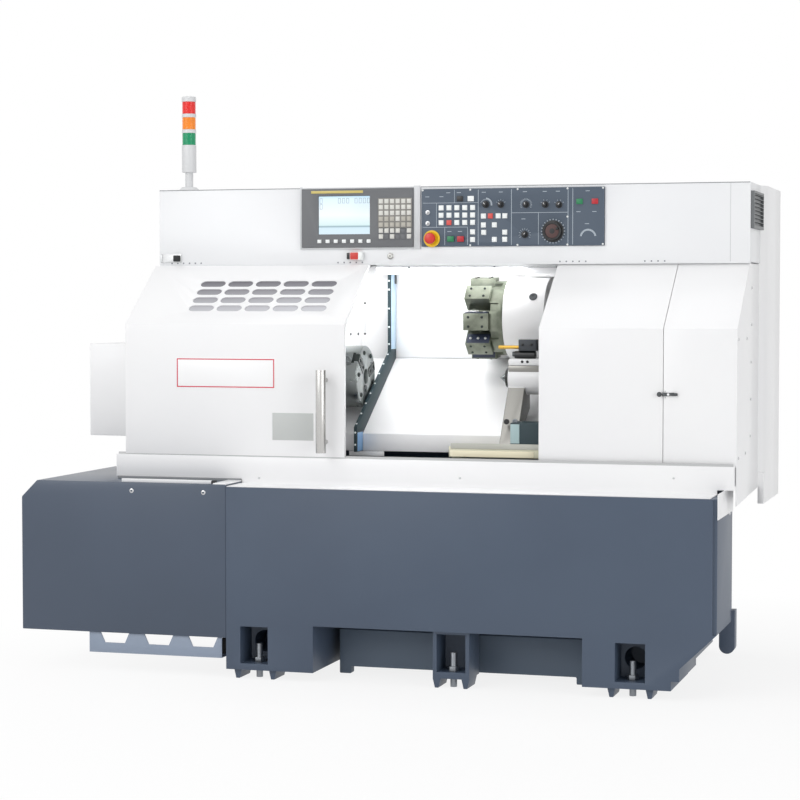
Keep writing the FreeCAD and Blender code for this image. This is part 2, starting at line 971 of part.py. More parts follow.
# The apron under the doors: a pan on the casting's top, the upright front, and the sill with its lip.
# At the right a flange hangs down beside the casting.
apron = new_body()
apron_length = d.apron_left + side_right - d.sheet
front = d.panel_front
sill_back = front + d.sill_depth
sill_section = [
    (front, apron_left_bottom),
    (front, apron_top),
    (sill_back, apron_top),
    (sill_back, apron_top - d.sill_lip),
    (sill_back - d.sheet, apron_top - d.sill_lip),
    (sill_back - d.sheet, apron_top - d.sheet),
    (front + d.sheet, apron_top - d.sheet),
    (front + d.sheet, apron_left_bottom),
]
raised(apron, "YZ_Plane", -d.apron_left, [sill_section], apron_length)
pan_section = [
    (d.pan_front, d.base_top),
    (front + d.sheet, d.base_top),
    (front + d.sheet, apron_left_bottom),
    (front, apron_left_bottom),
    (front, d.base_top + d.sheet),
    (d.pan_front, d.base_top + d.sheet),
]
raised(apron, "YZ_Plane", 0, [pan_section], d.pan_right)
end_flange = [
    (d.pan_front, flange_bottom),
    (d.front_depth, flange_bottom),
    (d.front_depth, flange_top),
    (front, flange_top),
    (front, apron_left_bottom),
    (d.pan_front, apron_left_bottom),
]
raised(apron, "YZ_Plane", d.base_length, [end_flange], d.sheet)
node("apron", apron)

door_bottom = apron_top + d.door_lift
door_top = console_bottom - d.door_lift
inner_set_back = d.door_depth + d.door_gap

# The fixed cover over the headstock, behind the open main door, folded in one with its left side. The
# side has a hole for bar stock, and a floor closes the overhang behind the left box.
head_cover = new_body()
cover_width = d.enclosure_left + d.head_right - d.wall_thick
head_section = folded(inner_set_back, d.sheet, apron_top, door_top)
raised(head_cover, "YZ_Plane", -d.enclosure_left, [head_section], cover_width)
left_side = [
    (sill_back, left_side_bottom),
    (sill_back, apron_top),
    (front + inner_set_back, apron_top),
    (front + inner_set_back, fold_of(inner_set_back)),
    (leaning_depth(inner_set_back, door_top), door_top),
    (d.console_back, door_top),
    (d.console_back, console_top - d.sheet),
    (d.enclosure_back - d.sheet, console_top - d.sheet),
    (d.enclosure_back - d.sheet, left_side_bottom),
]
raised(head_cover, "YZ_Plane", -d.enclosure_left, [left_side], d.sheet)
bar_hole = Circle(d.axis_depth, axis_height, d.bar_hole)
sunk(head_cover, "YZ_Plane", -d.enclosure_left, [bar_hole], d.sheet)
under_floor = rectangle(
    -d.enclosure_left, d.box_depth, d.enclosure_left, d.enclosure_back - d.sheet - d.box_depth
)
raised(head_cover, "XY_Plane", left_side_bottom, [under_floor], d.sheet)
node("headstock_cover", head_cover)

# The cover at the right end, folded in one with the right side, which hangs below the sill.
end_left = d.opening_width + d.service_width + d.door_width - d.door_left + d.seam
end_cover = new_body()
end_section = folded(inner_set_back, d.sheet, apron_top, door_top)
end_width = side_right - d.sheet - end_left
raised(end_cover, "YZ_Plane", end_left, [end_section], end_width)
right_side = [
    (front + inner_set_back, side_hang),
    (front + inner_set_back, fold_of(inner_set_back)),
    (leaning_depth(inner_set_back, door_top), door_top),
    (d.console_back, door_top),
    (d.console_back, side_bottom),
]
raised(end_cover, "YZ_Plane", side_right - d.sheet, [right_side], d.sheet)
latch_pivot = end_left + d.latch_from_seam
inner_front = front + inner_set_back
latch_plate = [
    (latch_pivot - d.latch_plate_height / 2, latch_height - d.latch_plate_height / 2),
    (latch_pivot - d.latch_plate_height / 2 + d.latch_plate_width, latch_height),
    (latch_pivot - d.latch_plate_height / 2, latch_height + d.latch_plate_height / 2),
]
plate_front = inner_front - d.latch_plate_thick
raised(end_cover, "XZ_Plane", plate_front, [latch_plate], d.latch_plate_thick)
pivot_pin = Circle(latch_pivot, latch_height, d.latch_pin_radius)
pin_length = d.latch_bar_thick + d.knob_gap
raised(end_cover, "XZ_Plane", plate_front - pin_length, [pivot_pin], pin_length)
node("end_cover", end_cover)

# The console: the box across the top, with recesses for the display and the operator panel.
console = new_body()
console_outline = rectangle(
    -d.console_left,
    console_bottom,
    d.console_left + d.console_right,
    console_top - console_bottom,
)
console_depth = d.console_back - d.console_front
raised(console, "XZ_Plane", d.console_front, [console_outline], console_depth)


def recess(left, bottom, width, height):
    gap = d.panel_clearance
    return rectangle(left - gap, bottom - gap, width + gap * 2, height + gap * 2)


display_recess = recess(d.display_left, display_bottom, d.display_width, d.display_height)
sunk(console, "XZ_Plane", d.console_front, [display_recess], d.display_sunk)
panel_recess = recess(d.panel_left, panel_bottom, d.panel_width, d.panel_height)
sunk(console, "XZ_Plane", d.console_front, [panel_recess], d.panel_sunk)
node("console", console)

# Roof and back, one folded sheet behind the console.
rear = new_body()
roof_section = [
    (d.console_back, console_top - d.sheet),
    (d.enclosure_back - d.sheet, console_top - d.sheet),
    (d.enclosure_back - d.sheet, d.base_top),
    (d.enclosure_back, d.base_top),
    (d.enclosure_back, console_top),
    (d.console_back, console_top),
]
rear_left = d.enclosure_left - d.sheet
raised(rear, "YZ_Plane", -rear_left, [roof_section], rear_left + bed_block_right)
node("rear_cover", rear)

# The electrical cabinet at the right rear corner, with a raised door on its back and a skirt that
# hangs from its right side.
cabinet = new_body()
cabinet_end = d.cabinet_back - d.sheet
cabinet_outline = [
    (bed_block_right, d.console_back),
    (side_right, d.console_back),
    (d.cabinet_right, d.console_back + d.cabinet_lead),
    (d.cabinet_right, cabinet_end),
    (bed_block_right, cabinet_end),
]
cabinet_height = console_top - side_bottom
raised(cabinet, "XY_Plane", side_bottom, [cabinet_outline], cabinet_height)
skirt = rectangle(
    side_right, d.console_back, d.cabinet_right - side_right, cabinet_end - d.console_back
)
skirt_height = cabinet_skirt_top - cabinet_skirt_bottom
raised(cabinet, "XY_Plane", cabinet_skirt_bottom, [skirt], skirt_height)
cabinet_door = rectangle(
    bed_block_right + d.cabinet_edge,
    side_bottom + d.cabinet_edge,
    d.cabinet_right - bed_block_right - d.cabinet_edge * 2,
    cabinet_height - d.cabinet_edge * 2,
)
raised(cabinet, "XZ_Plane", cabinet_end, [cabinet_door], d.sheet)
node("rear_cabinet", cabinet)

# The air grille on the console's right end: a rim with leaning slats.
vent = new_body()
vent_width = d.vent_back - d.vent_front
vent_height = vent_top - vent_bottom
vent_outline = rectangle(d.vent_front, vent_bottom, vent_width, vent_height)
raised(vent, "YZ_Plane", d.console_right, [vent_outline], d.vent_depth)
vent_hole = rectangle(
    d.vent_front + d.vent_rim,
    vent_bottom + d.vent_rim,
    vent_width - d.vent_rim * 2,
    vent_height - d.vent_rim * 2,
)
vent_floor = d.console_right + d.sheet
sunk(vent, "YZ_Plane", vent_floor, [vent_hole], d.vent_depth - d.sheet)
slat_pitch = (vent_height - d.vent_rim * 2 - d.vent_slat_thick) / (d.vent_slats - 1)
slat_rise = d.vent_depth - d.sheet
slat = [
    (d.console_right + d.sheet, vent_bottom + d.vent_rim),
    (d.console_right + d.vent_depth, vent_bottom + d.vent_rim),
    (d.console_right + d.vent_depth, vent_bottom + d.vent_rim + d.vent_slat_thick / 2),
    (d.console_right + d.sheet, vent_bottom + d.vent_rim + d.vent_slat_thick),
]
slats = raised(vent, "XZ_Plane", d.vent_front + d.vent_rim, [slat], vent_width - d.vent_rim * 2)
repeated(vent, slats, "V_Axis", d.vent_slats, slat_pitch * (d.vent_slats - 1))
node("side_vent", vent)

# Two rails on the sill, one under each door. The inner one ends at the wall beside the chuck.
rail_right = side_right - d.sheet * 3
rails = []
for set_back, rail_left in (
    (zero, d.sheet * 2 - d.apron_left),
    (inner_set_back, d.head_right + d.wall_thick + d.sheet),
):
    rail_front = front + set_back + d.rail_in_door
    rail_length = rail_right - rail_left
    rails.append(
        block(rail_left, rail_front, apron_top, rail_length, d.rail_width, d.rail_height)
    )
node("door_rails", grouped(rails))

# ---------------------------------------------------------------------------------------- the doors


def door_pan(left, width, set_back):
    """A door folded from sheet into a pan that is open behind and below, notched over its rail."""
    body = new_body()
    section = folded(set_back, d.door_depth, door_bottom, door_top)
    raised(body, "YZ_Plane", left, [section], width)
    inside = folded(set_back + d.sheet, d.door_depth, door_bottom - d.sheet, door_top - d.sheet)
    sunk(body, "YZ_Plane", left + d.sheet, [inside], width - d.sheet * 2)
    notch = rectangle(
        front + set_back + d.rail_in_door - d.rail_gap,
        door_bottom,
        d.rail_width + d.rail_gap * 2,
        d.rail_height + d.rail_gap - d.door_lift,
    )
    sunk(body, "YZ_Plane", left, [notch], width)
    return body


def door_shoes(body, left, width, set_back):
    """The two shoes in the door's lower edge that run on its rail."""
    shoe_bottom = apron_top + d.rail_height + d.shoe_gap
    for x in (left + d.sheet, left + width - d.sheet - d.shoe_length):
        shoe = rectangle(x, shoe_bottom, d.shoe_length, d.shoe_height)
        raised(body, "XZ_Plane", front + set_back + d.sheet, [shoe], d.door_depth - d.sheet)


# The main door stands open at the left. Its leaning part has rows of slots to look through.
main_door = door_pan(-d.door_left, d.door_width, zero)
door_shoes(main_door, -d.door_left, d.door_width, zero)
slot_column = [
    Obround(
        d.first_slot + d.slot_length / 2 - d.door_left,
        d.first_row + d.slot_row_pitch * row,
        d.slot_length,
        d.slot_height,
    )
    for row in range(int(d.slot_rows.number))
]
slots = sunk(main_door, "XZ_Plane", d.panel_front, slot_column, d.sheet, leaning=True)
repeated(main_door, slots, "H_Axis", d.slot_columns, d.slot_pitch * (d.slot_columns - 1))
node("main_door", main_door)

# The grey pane behind the slots, held between the sheet and the door's folded edge.
pane_left = d.first_slot - d.window_margin - d.door_left
pane_width = d.slot_pitch * (d.slot_columns - 1) + d.slot_length + d.window_margin * 2
pane_low = d.first_row - d.slot_height / 2 - d.window_margin
pane_tall = d.slot_row_pitch * (d.slot_rows - 1) + d.slot_height + d.window_margin * 2
pane = block(pane_left, d.sheet, pane_low, pane_width, d.window_thick, pane_tall, SLOPE)
node("door_window", pane)

# The upright tube handle on two posts.
handle_x = d.door_width - d.door_left - d.handle_from_edge
handle_y = front - d.handle_reach
tube = rod(handle_x, handle_y, handle_bottom, d.handle_radius, handle_top - handle_bottom, "z")
posts = [
    rod(handle_x, handle_y, z, d.handle_post_radius, d.handle_reach, "y")
    for z in (handle_bottom + d.handle_post_inset, handle_top - d.handle_post_inset)
]
node("door_handle", fused([tube] + posts))

# The service door runs on the inner rail and passes behind the main door. It carries the keeper.
service_left = d.opening_width + d.door_width - d.door_left
service_door = door_pan(service_left, d.service_width, inner_set_back)
door_shoes(service_door, service_left, d.service_width, inner_set_back)
keeper_x = end_left - d.keeper_from_seam
keeper_length = d.latch_plate_thick + d.latch_bar_thick
keeper_front = inner_front - keeper_length
keeper = rod(keeper_x, keeper_front, latch_height, d.keeper_radius, keeper_length, "y")
node("service_door", grouped([service_door, keeper]))

# The latch's lever turns on its pin flat over the end cover. Its hook ends just short of the keeper.
lever = new_body()
lever_front = plate_front - d.latch_bar_thick
hook_end = keeper_x + d.keeper_radius + d.keeper_gap
lever_outline = [
    (hook_end, latch_height - d.latch_bar_width / 2),
    (latch_pivot + d.latch_tail, latch_height - d.latch_bar_width / 3),
    (latch_pivot + d.latch_tail, latch_height + d.latch_bar_width / 3),
    (hook_end, latch_height + d.latch_bar_width / 2),
]
lever_thick = d.latch_bar_thick - d.knob_gap
raised(lever, "XZ_Plane", lever_front, [lever_outline], lever_thick)
lever_hole = Circle(latch_pivot, latch_height, d.latch_pin_radius + d.running_fit)
sunk(lever, "XZ_Plane", lever_front, [lever_hole], lever_thick)
node("latch_lever", lever)

# ------------------------------------------------------------------------- the bed and the headstock


def bed_face_depth(height, drop):
    """How deep the slanted face lies at a height, where it passes this far below the spindle's axis."""
    depth = d.axis_depth + drop * sine(d.slant)
    level = axis_height - drop * cosine(d.slant)
    return depth + (height - level) / tangent(d.slant)


def bed_face_height(depth, drop):
    return axis_height - drop * cosine(d.slant) + (
        depth - d.axis_depth - drop * sine(d.slant)
    ) * tangent(d.slant)


# The slant bed, a wedge with its face 50 degrees to the floor.
bed = new_body()
bed_back = bed_face_depth(bed_height, d.bed_drop) + d.bed_ledge
bed_section = [
    (bed_face_depth(d.base_top, d.bed_drop), d.base_top),
    (bed_face_depth(bed_height, d.bed_drop), bed_height),
    (bed_back, bed_height),
    (bed_back, d.base_top),
]
raised(bed, "YZ_Plane", d.bed_left, [bed_section], d.bed_right - d.bed_left)
node("slant_bed", bed)

# Two ground ways along the bed, and the blocks that the long screw's ends turn in.
ways = []
way_length = d.bed_right - d.bed_left - d.way_end * 2
for up_the_bed in (d.rail_one, d.rail_two):
    ways.append(
        block(
            d.bed_left + d.way_end,
            up_the_bed,
            -d.bed_drop,
            way_length,
            d.way_width,
            d.way_height,
            BED,
        )
    )
journal_radius = d.z_screw_radius * 2 / 3
far_block = d.bed_right - d.way_end - d.bearing_block
for x in (d.bed_left + d.way_end, far_block):
    bearing = block(
        x,
        d.z_screw_at - d.bearing_block_width / 2,
        -d.bed_drop,
        d.bearing_block,
        d.bearing_block_width,
        d.bed_drop - d.z_screw_drop + d.bearing_block_width / 2,
        BED,
    )
    journal = journal_radius + d.running_fit
    bore = rod(x, d.z_screw_at, -d.z_screw_drop, journal, d.bearing_block, "x", BED)
    ways.append(cut(bearing, [bore]))
node("bed_ways", grouped(ways))

# The headstock casting stands square on the slanted face, bored for the spindle.
head = new_body(BED)
head_section = [
    (-d.head_half, -d.bed_drop),
    (d.head_half, -d.bed_drop),
    (d.head_half, d.head_over - d.head_chamfer),
    (d.head_half - d.head_chamfer, d.head_over),
    (d.head_chamfer - d.head_half, d.head_over),
    (-d.head_half, d.head_over - d.head_chamfer),
]
head_length = d.head_right - d.bed_left
raised(head, "YZ_Plane", d.bed_left, [head_section], head_length)
spindle_hole = Circle(0, 0, d.spindle_radius + d.running_fit)
sunk(head, "YZ_Plane", d.bed_left, [spindle_hole], head_length)
node("headstock_casting", head)

# The spindle: nose flange, journal, belt pulley and the closing cylinder at its rear, bored through.
spindle_parts = [
    rod(d.spindle_left, 0, 0, d.spindle_radius, d.head_right - d.spindle_left, "x", BED),
    rod(d.head_right, 0, 0, d.spindle_radius, d.wall_thick + d.nose_gap, "x", BED),
    rod(d.head_right + d.wall_thick + d.nose_gap, 0, 0, d.nose_radius, d.nose_length, "x", BED),
    rod(d.spindle_left - d.actuator_length, 0, 0, d.actuator_radius, d.actuator_length, "x", BED),
]
groove_width = d.pulley_width - d.pulley_rim * 2


def pulley(y, z, frame):
    """A flanged belt pulley at an axis along X, as pieces to fuse."""
    rim = d.pulley_radius + d.pulley_groove
    return [
        rod(d.pulley_left, y, z, rim, d.pulley_rim, "x", frame),
        rod(d.pulley_left + d.pulley_rim, y, z, d.pulley_radius, groove_width, "x", frame),
        rod(d.pulley_left + d.pulley_width - d.pulley_rim, y, z, rim, d.pulley_rim, "x", frame),
    ]


spindle_parts += pulley(zero, zero, BED)
nose_right = d.head_right + d.wall_thick + d.nose_gap + d.nose_length
rear_end = d.spindle_left - d.actuator_length
through_bore = rod(rear_end, 0, 0, d.spindle_bore, nose_right - rear_end, "x", BED)
node("spindle", cut(fused(spindle_parts), [through_bore]))

# The draw tube inside the spindle pulls the jaws in.
tube_left = rear_end - d.tube_travel
tube_length = nose_right - d.draw_tube_wall_gap - tube_left
tube_outer = rod(tube_left, 0, 0, d.draw_tube_radius, tube_length, "x", BED)
tube_inner = rod(tube_left, 0, 0, d.draw_tube_bore, tube_length, "x", BED)
node("draw_tube", cut(tube_outer, [tube_inner]))

# The spindle motor stands on the casting in front of the bed, and drives the spindle by a belt.
motor_parts = [
    rod(d.motor_left, d.motor_depth, motor_height, d.motor_radius, d.motor_length, "x"),
]
for x in (d.motor_left + d.motor_shaft * 2, d.motor_left + d.motor_length - d.motor_feet):
    motor_parts.append(
        block(
            x,
            d.motor_depth - d.motor_feet,
            d.base_top,
            d.motor_feet / 2,
            d.motor_feet * 2,
            motor_height - d.base_top,
        )
    )
shaft_end = d.pulley_left + d.pulley_rim
shaft_length = d.motor_left - shaft_end
motor_parts.append(
    rod(shaft_end, d.motor_depth, motor_height, d.motor_shaft, shaft_length, "x")
)
node("spindle_motor", fused(motor_parts))

motor_pulley = fused(pulley(d.motor_depth, motor_height, MACHINE))
shaft_hole_radius = d.motor_shaft + d.running_fit
shaft_hole = rod(
    d.pulley_left, d.motor_depth, motor_height, shaft_hole_radius, d.pulley_width, "x"
)
node("motor_pulley", cut(motor_pulley, [shaft_hole]))

# The flat belt round the two equal pulleys: two half turns joined by straight runs.
belt_drop_y = d.axis_depth - d.motor_depth
belt_drop_z = axis_height - motor_height
belt_run = math.hypot(belt_drop_y.number, belt_drop_z.number)
run_formula = f"sqrt(pow({belt_drop_y.formula}; 2) + pow({belt_drop_z.formula}; 2))"
belt_run = Size(belt_run, run_formula)
belt_tilt = angle_of(belt_drop_z / belt_drop_y)
BELT = Frame(d.motor_depth, motor_height, belt_tilt)
belt_left = d.pulley_left + d.pulley_rim + d.belt_gap
belt_width = groove_width - d.belt_gap * 2


def belt_layer(radius):
    """Everything inside the belt's line at this distance from both axes."""
    return fused(
        [
            rod(belt_left, 0, 0, radius, belt_width, "x", BELT),
            rod(belt_left, belt_run, 0, radius, belt_width, "x", BELT),
            block(belt_left, 0, -radius, belt_width, belt_run, radius * 2, BELT),
        ]
    )


belt_inner = d.pulley_radius + d.belt_gap
node("drive_belt", cut(belt_layer(belt_inner + d.belt_thick), [belt_layer(belt_inner)]))

# ------------------------------------------------------------------------------ the chuck and its jaws

# Each base jaw slides on its wider foot in a slot of the chuck's body. Its front takes a top jaw,
# held by two bolts, and none is fitted.
chuck_left = nose_right
chuck_face = chuck_left + d.chuck_length
chuck_parts = [
    rod(chuck_left, 0, 0, d.chuck_radius, d.chuck_length - d.chuck_edge, "x", BED),
    taper(
        chuck_face - d.chuck_edge,
        0,
        0,
        d.chuck_radius,
        d.chuck_radius - d.chuck_edge,
        d.chuck_edge,
        "x",
        BED,
    ),
]
jaw_frames = [
    Frame(d.axis_depth, axis_height, d.slant + 360 / d.jaw_count.number * i)
    for i in range(int(d.jaw_count.number))
]
jaw_start = chuck_face - d.jaw_base
gap = d.jaw_gap
slot_inner = d.jaw_inner - d.jaw_stroke - gap
jaw_slots = []
for frame in jaw_frames:
    for width, start, end in (
        (d.jaw_width, jaw_start, chuck_face),
        (d.jaw_foot_width, jaw_start, jaw_start + d.jaw_foot),
    ):
        side = width / 2 + gap
        length = end - start + gap * 2
        jaw_slots.append(
            block(start - gap, -side, slot_inner, length, side * 2, d.chuck_radius, frame)
        )
chuck_hole = rod(chuck_left, 0, 0, d.chuck_bore, d.chuck_length, "x", BED)
node("chuck_body", cut(fused(chuck_parts), jaw_slots + [chuck_hole]))

jaw_reach = d.jaw_outer - d.jaw_inner
jaw_middle = (d.jaw_outer + d.jaw_inner) / 2
jaw_front = chuck_face + d.jaw_proud
for i, frame in enumerate(jaw_frames, 1):
    upper = block(
        jaw_start,
        -(d.jaw_width / 2),
        d.jaw_inner,
        d.jaw_base + d.jaw_proud,
        d.jaw_width,
        jaw_reach,
        frame,
    )
    foot = block(
        jaw_start,
        -(d.jaw_foot_width / 2),
        d.jaw_inner,
        d.jaw_foot,
        d.jaw_foot_width,
        jaw_reach,
        frame,
    )
    bolt_holes = [
        rod(
            jaw_front - d.jaw_bolt_depth,
            0,
            jaw_middle + d.jaw_bolt_spread * side,
            d.jaw_bolt_radius,
            d.jaw_bolt_depth,
            "x",
            frame,
        )
        for side in (-1, 1)
    ]
    node(f"chuck_jaw_{i}", cut(fused([upper, foot]), bolt_holes))

# --------------------------------------------------------------- walls and covers of the working area


def cover_level(depth, below):
    """The height of the slanted cover at a depth, less a drop below it."""
    rise = (cover_back_height - cover_corner_height) / (d.cover_back - d.cover_corner)
    return cover_corner_height + (depth - d.cover_corner) * rise - below


# The wall behind the chuck, with a round hole for the spindle's nose. Its back edge is folded to the
# right as far as the dark strip.
wall = new_body()
wall_left = d.head_right
wall_drop = d.bed_drop - d.wall_clearance
wall_set_back = inner_set_back + d.sheet * 2
wall_bottom = apron_left_bottom
wall_section = [
    (sill_back, wall_bottom),
    (sill_back, apron_top),
    (d.wall_front, apron_top),
    (d.wall_front, fold_of(wall_set_back)),
    (leaning_depth(wall_set_back, wall_top), wall_top),
    (d.cover_back, wall_top),
    (d.cover_back, bed_face_height(d.cover_back, wall_drop)),
    (bed_face_depth(wall_bottom, wall_drop), wall_bottom),
]
raised(wall, "YZ_Plane", wall_left, [wall_section], d.wall_thick)
wall_hole = Circle(d.axis_depth, axis_height, d.wall_hole)
sunk(wall, "YZ_Plane", wall_left, [wall_hole], d.wall_thick)
wall_return = rectangle(wall_left, d.cover_back - d.sheet, d.strip_left - wall_left, d.sheet)
raised(wall, "XY_Plane", cover_back_height, [wall_return], wall_top - cover_back_height)
node("inner_wall", wall)

# The lower cover, one sheet that slants down over the bed to the front and then drops to the trough.
# It begins at the wall, and a web at each end stands on the slanted face.
lower_cover = new_body()
cover_left = wall_left + d.wall_thick
cover_right = d.bed_right
cover_section = [
    (d.cover_back, cover_back_height),
    (d.cover_corner, cover_corner_height),
    (d.cover_corner, cover_foot),
    (d.cover_corner + d.sheet, cover_foot),
    (d.cover_corner + d.sheet, cover_level(d.cover_corner + d.sheet, d.sheet)),
    (d.cover_back, cover_back_height - d.sheet),
]
raised(lower_cover, "YZ_Plane", cover_left, [cover_section], cover_right - cover_left)
web_section = [
    (d.cover_corner, cover_foot),
    (bed_face_depth(cover_foot, d.bed_drop), cover_foot),
    (d.cover_back, bed_face_height(d.cover_back, d.bed_drop)),
    (d.cover_back, cover_back_height),
    (d.cover_corner, cover_corner_height),
]
for x in (cover_left, cover_right - d.cover_web):
    raised(lower_cover, "YZ_Plane", x, [web_section], d.cover_web)
node("lower_way_cover", lower_cover)

# The dark strip that stands on the covers beside the chuck and keeps the chips in.
wiper = new_body()
strip_back = d.cover_back - d.wiper_width
strip_front = d.cover_corner - d.wiper_width
wiper_section = [
    (d.cover_back, wall_top),
    (d.cover_back, cover_back_height),
    (d.cover_corner, cover_corner_height),
    (d.cover_corner, cover_foot),
    (strip_front, cover_foot),
    (strip_front, cover_level(strip_front, -d.wiper_width)),
    (strip_back, cover_level(strip_back, -d.wiper_width)),
    (strip_back, wall_top),
]
raised(wiper, "YZ_Plane", d.strip_left, [wiper_section], d.wiper_thick)
node("wiper_strip", wiper)

# The chip trough in front of the covers, folded from sheet.
trough = new_body()
trough_front = sill_back
trough_back = bed_face_depth(d.base_top, wall_drop)
trough_section = [
    (trough_front, d.base_top),
    (trough_back, d.base_top),
    (trough_back, d.base_top + d.sheet),
    (trough_front + d.sheet, d.base_top + d.sheet),
    (trough_front + d.sheet, d.base_top + d.trough_wall),
    (trough_front, d.base_top + d.trough_wall),
]
raised(trough, "YZ_Plane", d.trough_left, [trough_section], d.trough_right - d.trough_left)
node("chip_trough", trough)

# ------------------------------------------------------------------------- the carriage and the turret

# The saddle straddles both ways, holds the long screw's nut, and carries the cross slide's motor.
saddle_bottom = d.way_height - d.bed_drop - d.saddle_wrap
saddle_block = block(
    d.saddle_left,
    d.saddle_low,
    saddle_bottom,
    d.saddle_length,
    d.saddle_high - d.saddle_low,
    -d.saddle_top - saddle_bottom,
    BED,
)
way_grooves = [
    block(
        d.saddle_left,
        up_the_bed - d.slide_gap,
        -d.bed_drop,
        d.saddle_length,
        d.way_width + d.slide_gap * 2,
        d.way_height + d.slide_gap,
        BED,
    )
    for up_the_bed in (d.rail_one, d.rail_two)
]
nut_radius = d.z_screw_radius + d.z_screw_gap
nut_bore = rod(
    d.saddle_left, d.z_screw_at, -d.z_screw_drop, nut_radius, d.saddle_length, "x", BED
)
x_motor = block(
    d.saddle_left + (d.saddle_length - d.x_motor_size) / 2,
    d.saddle_high,
    -d.saddle_top - d.x_motor_size,
    d.x_motor_size,
    d.x_motor_length,
    d.x_motor_size,
    BED,
)
saddle = cut(fused([saddle_block, x_motor]), way_grooves + [nut_bore])
node("saddle", saddle)

# The long screw between its bearing blocks.
screw_left = d.bed_left + d.way_end + d.bearing_block
screw_length = far_block - screw_left
screw_end = d.bearing_block
z_screw_parts = [
    rod(
        screw_left + d.slide_gap,
        d.z_screw_at,
        -d.z_screw_drop,
        d.z_screw_radius,
        screw_length - d.slide_gap * 2,
        "x",
        BED,
    ),
    rod(
        screw_left - screw_end,
        d.z_screw_at,
        -d.z_screw_drop,
        journal_radius,
        screw_length + screw_end * 2,
        "x",
        BED,
    ),
]
node("z_screw", fused(z_screw_parts))

# The sliding cover beside the saddle, which travels with it and passes behind the headstock's wall.
leaf_left = d.strip_left + d.wiper_thick / 2
leaf = block(
    leaf_left,
    d.cover_back + d.leaf_gap,
    leaf_bottom,
    d.saddle_left - leaf_left,
    d.leaf_thick,
    leaf_top - leaf_bottom,
)
node("sliding_way_cover", leaf)

# The cross slide: a plate that runs on the saddle, cast in one with the turret's round housing.
drum_left = d.disc_left + d.disc_thick + d.disc_gap
drum_right = drum_left + d.drum_length
slide_bottom = d.slide_gap - d.saddle_top
slide_parts = [
    rod(drum_left, d.turret_at, 0, d.drum_radius, d.drum_length, "x", BED),
    rod(drum_right, d.turret_at, 0, d.drum_tail_radius, d.drum_tail_length, "x", BED),
    block(
        d.saddle_left,
        d.slide_low,
        slide_bottom,
        d.saddle_length - d.disc_gap * 2,
        d.slide_high - d.slide_low,
        d.drum_tail_radius,
        BED,
    ),
]
shaft_bore = rod(
    drum_left,
    d.turret_at,
    0,
    d.disc_shaft_radius + d.running_fit,
    d.disc_shaft_length + d.disc_gap,
    "x",
    BED,
)
node("cross_slide", cut(fused(slide_parts), [shaft_bore]))

# The turret disc: eight stations milled into its rim, a boss in front and a short shaft behind.
disc = new_body(BED)
disc_circle = Circle(d.turret_at, 0, d.disc_radius)
raised(disc, "YZ_Plane", d.disc_left, [disc_circle], d.disc_thick)
boss_circle = Circle(d.turret_at, 0, d.disc_boss_radius)
raised(disc, "YZ_Plane", d.disc_left - d.disc_boss_length, [boss_circle], d.disc_boss_length)
shaft_circle = Circle(d.turret_at, 0, d.disc_shaft_radius)
shaft_reach = d.disc_shaft_length + d.disc_gap
raised(disc, "YZ_Plane", d.disc_left + d.disc_thick, [shaft_circle], shaft_reach)
station_turn = 360 / d.stations.number
station_cuts = []
for i in range(int(d.stations.number)):
    turned = as_size(math.radians(station_turn * (i + 0.5)))
    along_y = math.cos(turned.number)
    along_z = math.sin(turned.number)
    half = d.station_width / 2
    low = d.disc_radius - d.station_depth
    high = d.disc_radius + d.station_depth
    corners = []
    for reach, side in ((low, -half), (high, -half), (high, half), (low, half)):
        corner_y = d.turret_at + reach * along_y - side * along_z
        corner_z = reach * along_z + side * along_y
        corners.append((corner_y, corner_z))
    station_cuts.append(corners)
sunk(disc, "YZ_Plane", d.disc_left, station_cuts, d.disc_thick * 2 / 3)
node("turret_disc", disc)

# Tool holders bolted to the disc's front, bored for their tools.
holders = []
centre_y = d.axis_depth + d.turret_at * cosine(d.slant)
centre_z = axis_height + d.turret_at * sine(d.slant)
for i in range(int(d.stations.number)):
    turned = Frame(centre_y, centre_z, d.slant + station_turn * i)
    holder = block(
        d.disc_left - d.holder_length,
        -d.holder_width / 2,
        d.holder_inner,
        d.holder_length,
        d.holder_width,
        d.holder_outer - d.holder_inner,
        turned,
    )
    tool_bore = rod(
        d.disc_left - d.holder_length,
        0,
        (d.holder_inner + d.holder_outer) / 2,
        d.holder_bore,
        d.holder_length / 2,
        "x",
        turned,
    )
    holders.append(cut(holder, [tool_bore]))
node("tool_holders", grouped(holders))

# ------------------------------------------------------------------------------------- the tailstock

# Its way: a bar on legs in front of the lower cover.
way_right = d.bed_right
way_bar = block(
    d.way_left,
    d.tail_way_front,
    tail_way_top - d.tail_way_thick,
    way_right - d.way_left,
    d.tail_way_back - d.tail_way_front,
    d.tail_way_thick,
)
leg_inset = (d.tail_way_back - d.tail_way_front - d.tail_leg_width) / 2
legs = [
    block(
        x,
        d.tail_way_front + leg_inset,
        d.base_top,
        d.tail_leg_width,
        d.tail_leg_width,
        tail_way_top - d.tail_way_thick - d.base_top,
    )
    for x in (
        d.way_left,
        (d.way_left + way_right - d.tail_leg_width) / 2,
        way_right - d.tail_leg_width,
    )
]
node("tailstock_way", fused([way_bar] + legs))

